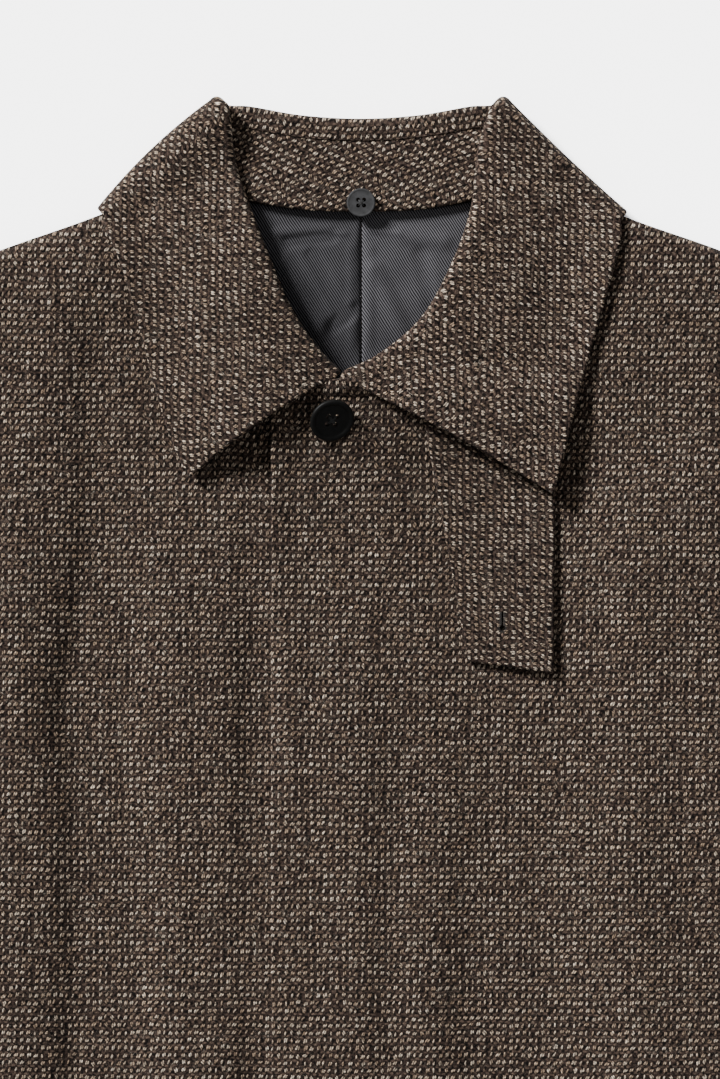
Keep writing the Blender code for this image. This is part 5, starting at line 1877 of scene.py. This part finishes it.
@dataclass
class Button:
    """Round button with a rim groove, a dished middle and four holes, sewn on with thread."""

    node: str
    x: float
    drop: float
    diameter: float
    thickness: float
    finish: Horn
    thread: Yarn
    tilt: Matrix
    base: float
    rim: float = 0.16
    dish: float = 0.32
    hole_radius: float = 0.055
    hole_ring: float = 0.135
    hole_turn: float = 38.0

    def profile(self) -> list[tuple[float, float]]:
        """Half section from the middle of the face, over the rim, to the middle of the back."""
        radius, thick = self.diameter / 2, self.thickness
        rim = radius * self.rim
        face = 1.0 - self.dish
        return [
            (0.0, thick * (face + 0.02)),
            (radius * 0.40, thick * (face + 0.01)),
            (radius * 0.62, thick * (face - 0.02)),
            (radius - rim * 1.9, thick * face),
            (radius - rim * 1.55, thick * (face + 0.13 * self.dish)),
            (radius - rim * 1.35, thick * (face + 0.5 * self.dish)),
            (radius - rim * 1.15, thick * (face + 0.85 * self.dish)),
            (radius - rim * 0.9, thick * 1.0),
            (radius - rim * 0.5, thick * 0.99),
            (radius - rim * 0.2, thick * 0.92),
            (radius - rim * 0.04, thick * 0.8),
            (radius, thick * 0.64),
            (radius * 0.985, thick * 0.42),
            (radius * 0.94, thick * 0.18),
            (radius * 0.86, thick * 0.05),
            (radius * 0.78, 0.0),
            (0.0, 0.0),
        ]

    def placed(self) -> Matrix:
        """Matrix from the button's own millimetres to its place in metres."""
        centre = Vector(to_metres(spot(self.x, self.drop, self.base)))
        return Matrix.Translation(centre) @ self.tilt @ Matrix.Scale(METRES, 4)

    def holes(self) -> list[Vector]:
        """Middles of the four holes, in the button's own millimetres."""
        ring = self.diameter * self.hole_ring
        angles = [math.radians(self.hole_turn + 90 * k) for k in range(4)]
        return [
            Vector((ring * math.cos(angle), ring * math.sin(angle), self.thickness / 2))
            for angle in angles
        ]

    def build(self) -> list[bpy.types.Object]:
        """Spin the button, drill it, and sew it on."""
        bpy.ops.object.select_all(action="DESELECT")
        bpy.ops.mesh.primitive_plane_add(size=1.0)
        piece = bpy.context.object
        piece.name = f"button_{self.node}"
        work = bmesh.new()
        points = [work.verts.new((r, 0.0, z)) for r, z in self.profile()]
        for pair in zip(points, points[1:]):
            work.edges.new(pair)
        work.to_mesh(piece.data)
        work.free()
        bpy.ops.object.mode_set(mode="EDIT")
        bpy.ops.mesh.select_all(action="SELECT")
        bpy.ops.mesh.spin(steps=72, angle=math.tau, center=(0, 0, 0), axis=(0, 0, 1))
        bpy.ops.mesh.select_all(action="SELECT")
        bpy.ops.mesh.remove_doubles(threshold=0.001)
        bpy.ops.mesh.normals_make_consistent(inside=False)
        bpy.ops.object.mode_set(mode="OBJECT")
        self.drill(piece)
        piece.data.transform(self.placed())
        piece.data.materials.clear()
        piece.data.materials.append(self.finish.material())
        piece.data.shade_smooth()
        piece.data.set_sharp_from_angle(angle=math.radians(42))
        declare_piece(piece, [self.node])
        return [piece, self.sew()]

    def drill(self, piece: bpy.types.Object) -> None:
        """Cut the four holes."""
        radius, depth = self.diameter * self.hole_radius, self.thickness * 3.0
        for middle in self.holes():
            bpy.ops.object.select_all(action="DESELECT")
            bpy.ops.mesh.primitive_cylinder_add(
                vertices=28, radius=radius, depth=depth, location=middle
            )
            cut_out(piece, bpy.context.object)

    def sew(self) -> bpy.types.Object:
        """Two crossed bundles of thread through the holes."""
        holes = self.holes()
        face = self.thickness * (1.01 - self.dish)
        radius = self.diameter * 0.011
        strands = []
        for first, second in ((0, 2), (1, 3)):
            start, end = holes[first], holes[second]
            side = Vector((-(end - start).y, (end - start).x, 0.0)).normalized()
            for lane in (-1.1, 0.0, 1.1):
                shift = side * lane * radius * 1.6
                path = []
                for k in range(17):
                    share = k / 16
                    arch = math.sin(math.pi * share) ** 0.35
                    point = start.lerp(end, share) + shift * (0.35 + 0.65 * arch)
                    upper = 1.6 if first else 1.0
                    point.z = face * (0.25 + 0.75 * arch) + radius * arch * upper
                    path.append(point)
                strands.append(path)
        mesh = tube_mesh(f"thread_{self.node}", strands, radius, 8)
        mesh.transform(self.placed())
        return put_piece(f"thread_{self.node}", mesh, self.thread)


def tube_mesh(
    name: str, paths: Sequence[Sequence[Vector]], radius: float, sides: int
) -> bpy.types.Mesh:
    """Closed round tubes along several paths, joined as one mesh.

    Args:
        name: Name of the mesh.
        paths: Middle points of each tube, in one unit with the radius.
        radius: Radius in the middle, narrower at both ends.
        sides: Number of sides.

    Returns:
        The joined mesh.
    """
    points, faces = [], []
    for path in paths:
        start = len(points)
        count = len(path)
        for index, point in enumerate(path):
            along = (path[min(index + 1, count - 1)] - path[max(index - 1, 0)]).normalized()
            side = along.cross(Vector((0.0, 0.0, 1.0)))
            side = side.normalized() if side.length > 1e-6 else Vector((1.0, 0.0, 0.0))
            up = side.cross(along)
            taper = 0.35 + 0.65 * math.sin(math.pi * index / (count - 1)) ** 0.4
            for k in range(sides):
                angle = math.tau * k / sides
                way = side * math.cos(angle) + up * math.sin(angle)
                points.append(point + way * radius * taper)
        for i in range(count - 1):
            for k in range(sides):
                n = (k + 1) % sides
                low, high = start + i * sides, start + (i + 1) * sides
                faces.append([low + k, low + n, high + n, high + k])
        faces.append([start + k for k in reversed(range(sides))])
        faces.append([start + (count - 1) * sides + k for k in range(sides)])
    mesh = bpy.data.meshes.new(name)
    mesh.from_pydata(points, [], faces)
    mesh.shade_smooth()
    face_out(mesh)
    return mesh


@dataclass
class Seam:
    """Row of sewn stitches along a line on the cloth, joined as one piece."""

    name: str
    lines: list[list[Vector]]
    pitch: float = 3.3
    stitch: float = 2.3
    radius: float = 0.2
    sunk: float = 0.05

    @staticmethod
    def resampled(line: Sequence[Vector], spacing: float) -> list[Vector]:
        """Points of a line at an even spacing."""
        points, left = [line[0].copy()], spacing
        for a, b in zip(line, line[1:]):
            run = (b - a).length
            while run > left > 0:
                a = a.lerp(b, left / run)
                points.append(a.copy())
                run = (b - a).length
                left = spacing
            left -= run
        return points

    def build(self) -> bpy.types.Object:
        """Lay one short arched stitch after another along each line."""
        paths = []
        for line in self.lines:
            fine = self.resampled(line, self.pitch)
            for a, b in zip(fine, fine[1:]):
                share = self.stitch / self.pitch
                path = []
                for k in range(4):
                    point = a.lerp(b, share * k / 3)
                    point.z += self.radius * (0.9 * math.sin(math.pi * k / 3)) - self.sunk
                    path.append(Vector(to_metres(point)))
                paths.append(path)
        mesh = tube_mesh(self.name, paths, self.radius * METRES, 6)
        return put_piece(self.name, mesh, THREAD_BROWN)


@dataclass
class Buttonhole:
    """Close thread stitches round the tab's keyhole."""

    name: str = "buttonhole_stitches"
    reach: float = 1.5
    radius: float = 0.16
    sunk: float = 0.1
    count: int = 44

    def outline(self, share: float) -> tuple[Vector, Vector]:
        """Point of the keyhole's edge and its outward way, at a share of the way round."""
        x, drop = TAB_EYELET
        half = SLIT_WIDTH / 2
        straight = SLIT_LENGTH - EYELET_RADIUS
        arc = EYELET_RADIUS * (math.tau - 0.62)
        total = 2 * straight + arc
        run = share * total
        if run < straight:
            return Vector((x + half + SLIT_SHIFT, drop - SLIT_LENGTH + run)), Vector((1.0, 0.0))
        if run < straight + arc:
            angle = -math.pi / 2 + 0.31 + (run - straight) / EYELET_RADIUS
            way = Vector((math.cos(angle), math.sin(angle)))
            return Vector((x, drop)) + way * EYELET_RADIUS, way
        back = run - straight - arc
        return Vector((x - half + SLIT_SHIFT, drop - EYELET_RADIUS - back)), Vector((-1.0, 0.0))

    def build(self) -> bpy.types.Object:
        """Lay the stitches side by side from the cut edge outwards."""
        paths = []
        for index in range(self.count):
            edge, way = self.outline((index + 0.5) / self.count)
            path = []
            for k in range(4):
                plan = edge + way * (self.reach * k / 3 - self.sunk)
                t = (plan.y - TAB_CORNERS[0][1]) / TAB_LENGTH
                bed = BED.left_level(plan.x, plan.y) + BED.left_wall(plan.x) / 2
                top = bed + TAB_LAY + TAB_LIFT * ease(0.3, 1.0, t) * 0.5 + TAB_WALL
                arch = self.radius * math.sin(math.pi * (k + 0.4) / 3.4)
                path.append(Vector(to_metres(spot(plan.x, plan.y, top + arch - self.sunk))))
            paths.append(path)
        mesh = tube_mesh(self.name, paths, self.radius * METRES, 6)
        return put_piece(self.name, mesh, THREAD_BROWN)


@dataclass
class Studio:
    """Pale floor, soft light from the upper left and a camera straight above."""

    floor_half: float = 30.0
    sun_power: float = 6.85
    sun_elevation: float = math.radians(27.0)
    sun_bearing: float = math.radians(136.0)
    sun_spread: float = math.radians(15.0)
    sky_power: float = 0.30

    def build(self) -> None:
        """Set up the floor, the lights and the camera."""
        self.lay_floor()
        self.light()
        self.aim()

    def lay_floor(self) -> None:
        """Lay the floor just under the coat."""
        bpy.ops.object.select_all(action="DESELECT")
        bpy.ops.mesh.primitive_plane_add(size=2 * self.floor_half, location=(0.0, 0.0, -0.0003))
        floor = bpy.context.object
        floor.name = "floor"
        floor.data.materials.append(FLOOR_PALE.material())

    def light(self) -> None:
        """A broad low sun for the modelling and an even sky for the fill."""
        lamp = bpy.data.lights.new("key", "SUN")
        lamp.energy = self.sun_power
        lamp.angle = self.sun_spread
        key = bpy.data.objects.new("key", lamp)
        bpy.context.scene.collection.objects.link(key)
        flat = math.cos(self.sun_elevation)
        source = Vector(
            (
                flat * math.cos(self.sun_bearing),
                flat * math.sin(self.sun_bearing),
                math.sin(self.sun_elevation),
            )
        )
        key.rotation_euler = source.to_track_quat("Z", "Y").to_euler()
        world = bpy.data.worlds.new("studio")
        world.use_nodes = True
        sky = world.node_tree.nodes["Background"]
        sky.inputs["Color"].default_value = (1.0, 1.0, 1.0, 1.0)
        sky.inputs["Strength"].default_value = self.sky_power
        bpy.context.scene.world = world

    @staticmethod
    def aim() -> None:
        """Hang the camera over the middle of the photograph's frame."""
        width, height = PHOTO_SIZE
        seen = height / PHOTO_SCALE * METRES
        middle_drop = (height / 2 - PHOTO_TOP_PX) / PHOTO_SCALE
        optics = bpy.data.cameras.new("camera")
        optics.sensor_fit = "VERTICAL"
        optics.sensor_height = 24.0
        optics.lens = optics.sensor_height * CAMERA_HEIGHT / seen
        optics.clip_end = 100.0
        camera = bpy.data.objects.new("camera", optics)
        camera.location = (0.0, LENGTH / 2 * METRES - middle_drop * METRES, CAMERA_HEIGHT)
        bpy.context.scene.collection.objects.link(camera)
        bpy.context.scene.camera = camera


@dataclass
class Coat:
    """The whole coat, dressed piece by piece."""

    def buttons(self) -> list[Button]:
        """The top button, tipped towards the lower right, and the flat neck button."""
        neck = Button(
            "neck_button",
            x=0.6,
            drop=59.1,
            diameter=16.0,
            thickness=2.6,
            finish=HORN_GREY,
            thread=THREAD_BLACK,
            tilt=Matrix.Identity(4),
            base=NECK_BACK_HEIGHT + BAND_WALL / 2 + 0.2,
            rim=0.11,
            dish=0.06,
            hole_radius=0.07,
            hole_ring=0.145,
            hole_turn=45.0,
        )
        top = Button(
            "top_button",
            x=-16.1,
            drop=178.9,
            diameter=25.0,
            thickness=3.6,
            finish=HORN_BLACK,
            thread=THREAD_BLACK,
            tilt=Matrix.Rotation(math.radians(30.0), 4, Vector((0.86, 0.51, 0.0))),
            base=0.0,
        )
        low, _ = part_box("top_button")
        radius = top.diameter * 0.43
        angles = (math.tau * k / 24 for k in range(24))
        back = [Vector((radius * math.cos(a), radius * math.sin(a), 0.0)) for a in angles]
        top.base = (low[2] - min((top.placed() @ point).z for point in back)) / METRES
        return [neck, top]

    def build(self) -> None:
        """Make every piece in order, from the back up to the sewing."""
        Back().build()
        Front(-1, "front_right").build()
        Front(1, "front_left", grooves=FLY_GROOVES).build()
        for side, node in ((-1, "sleeve_right"), (1, "sleeve_left")):
            Sleeve(side, node).build()
        collar = Collar()
        collar.build()
        Band().build()
        for side, node in ((-1, "lining_right"), (1, "lining_left")):
            Lining(side, node).build()
        tab = Tab()
        tab.build()
        for button in self.buttons():
            button.build()
        Seam("collar_stitches", [collar.edge_line]).build()
        Seam("tab_stitches", [tab.edge_line]).build()
        Buttonhole().build()


def main() -> None:
    """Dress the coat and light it."""
    logging.basicConfig(level=logging.INFO, format="%(message)s")
    Coat().build()
    Studio().build()


if __name__ == "__main__":
    main()
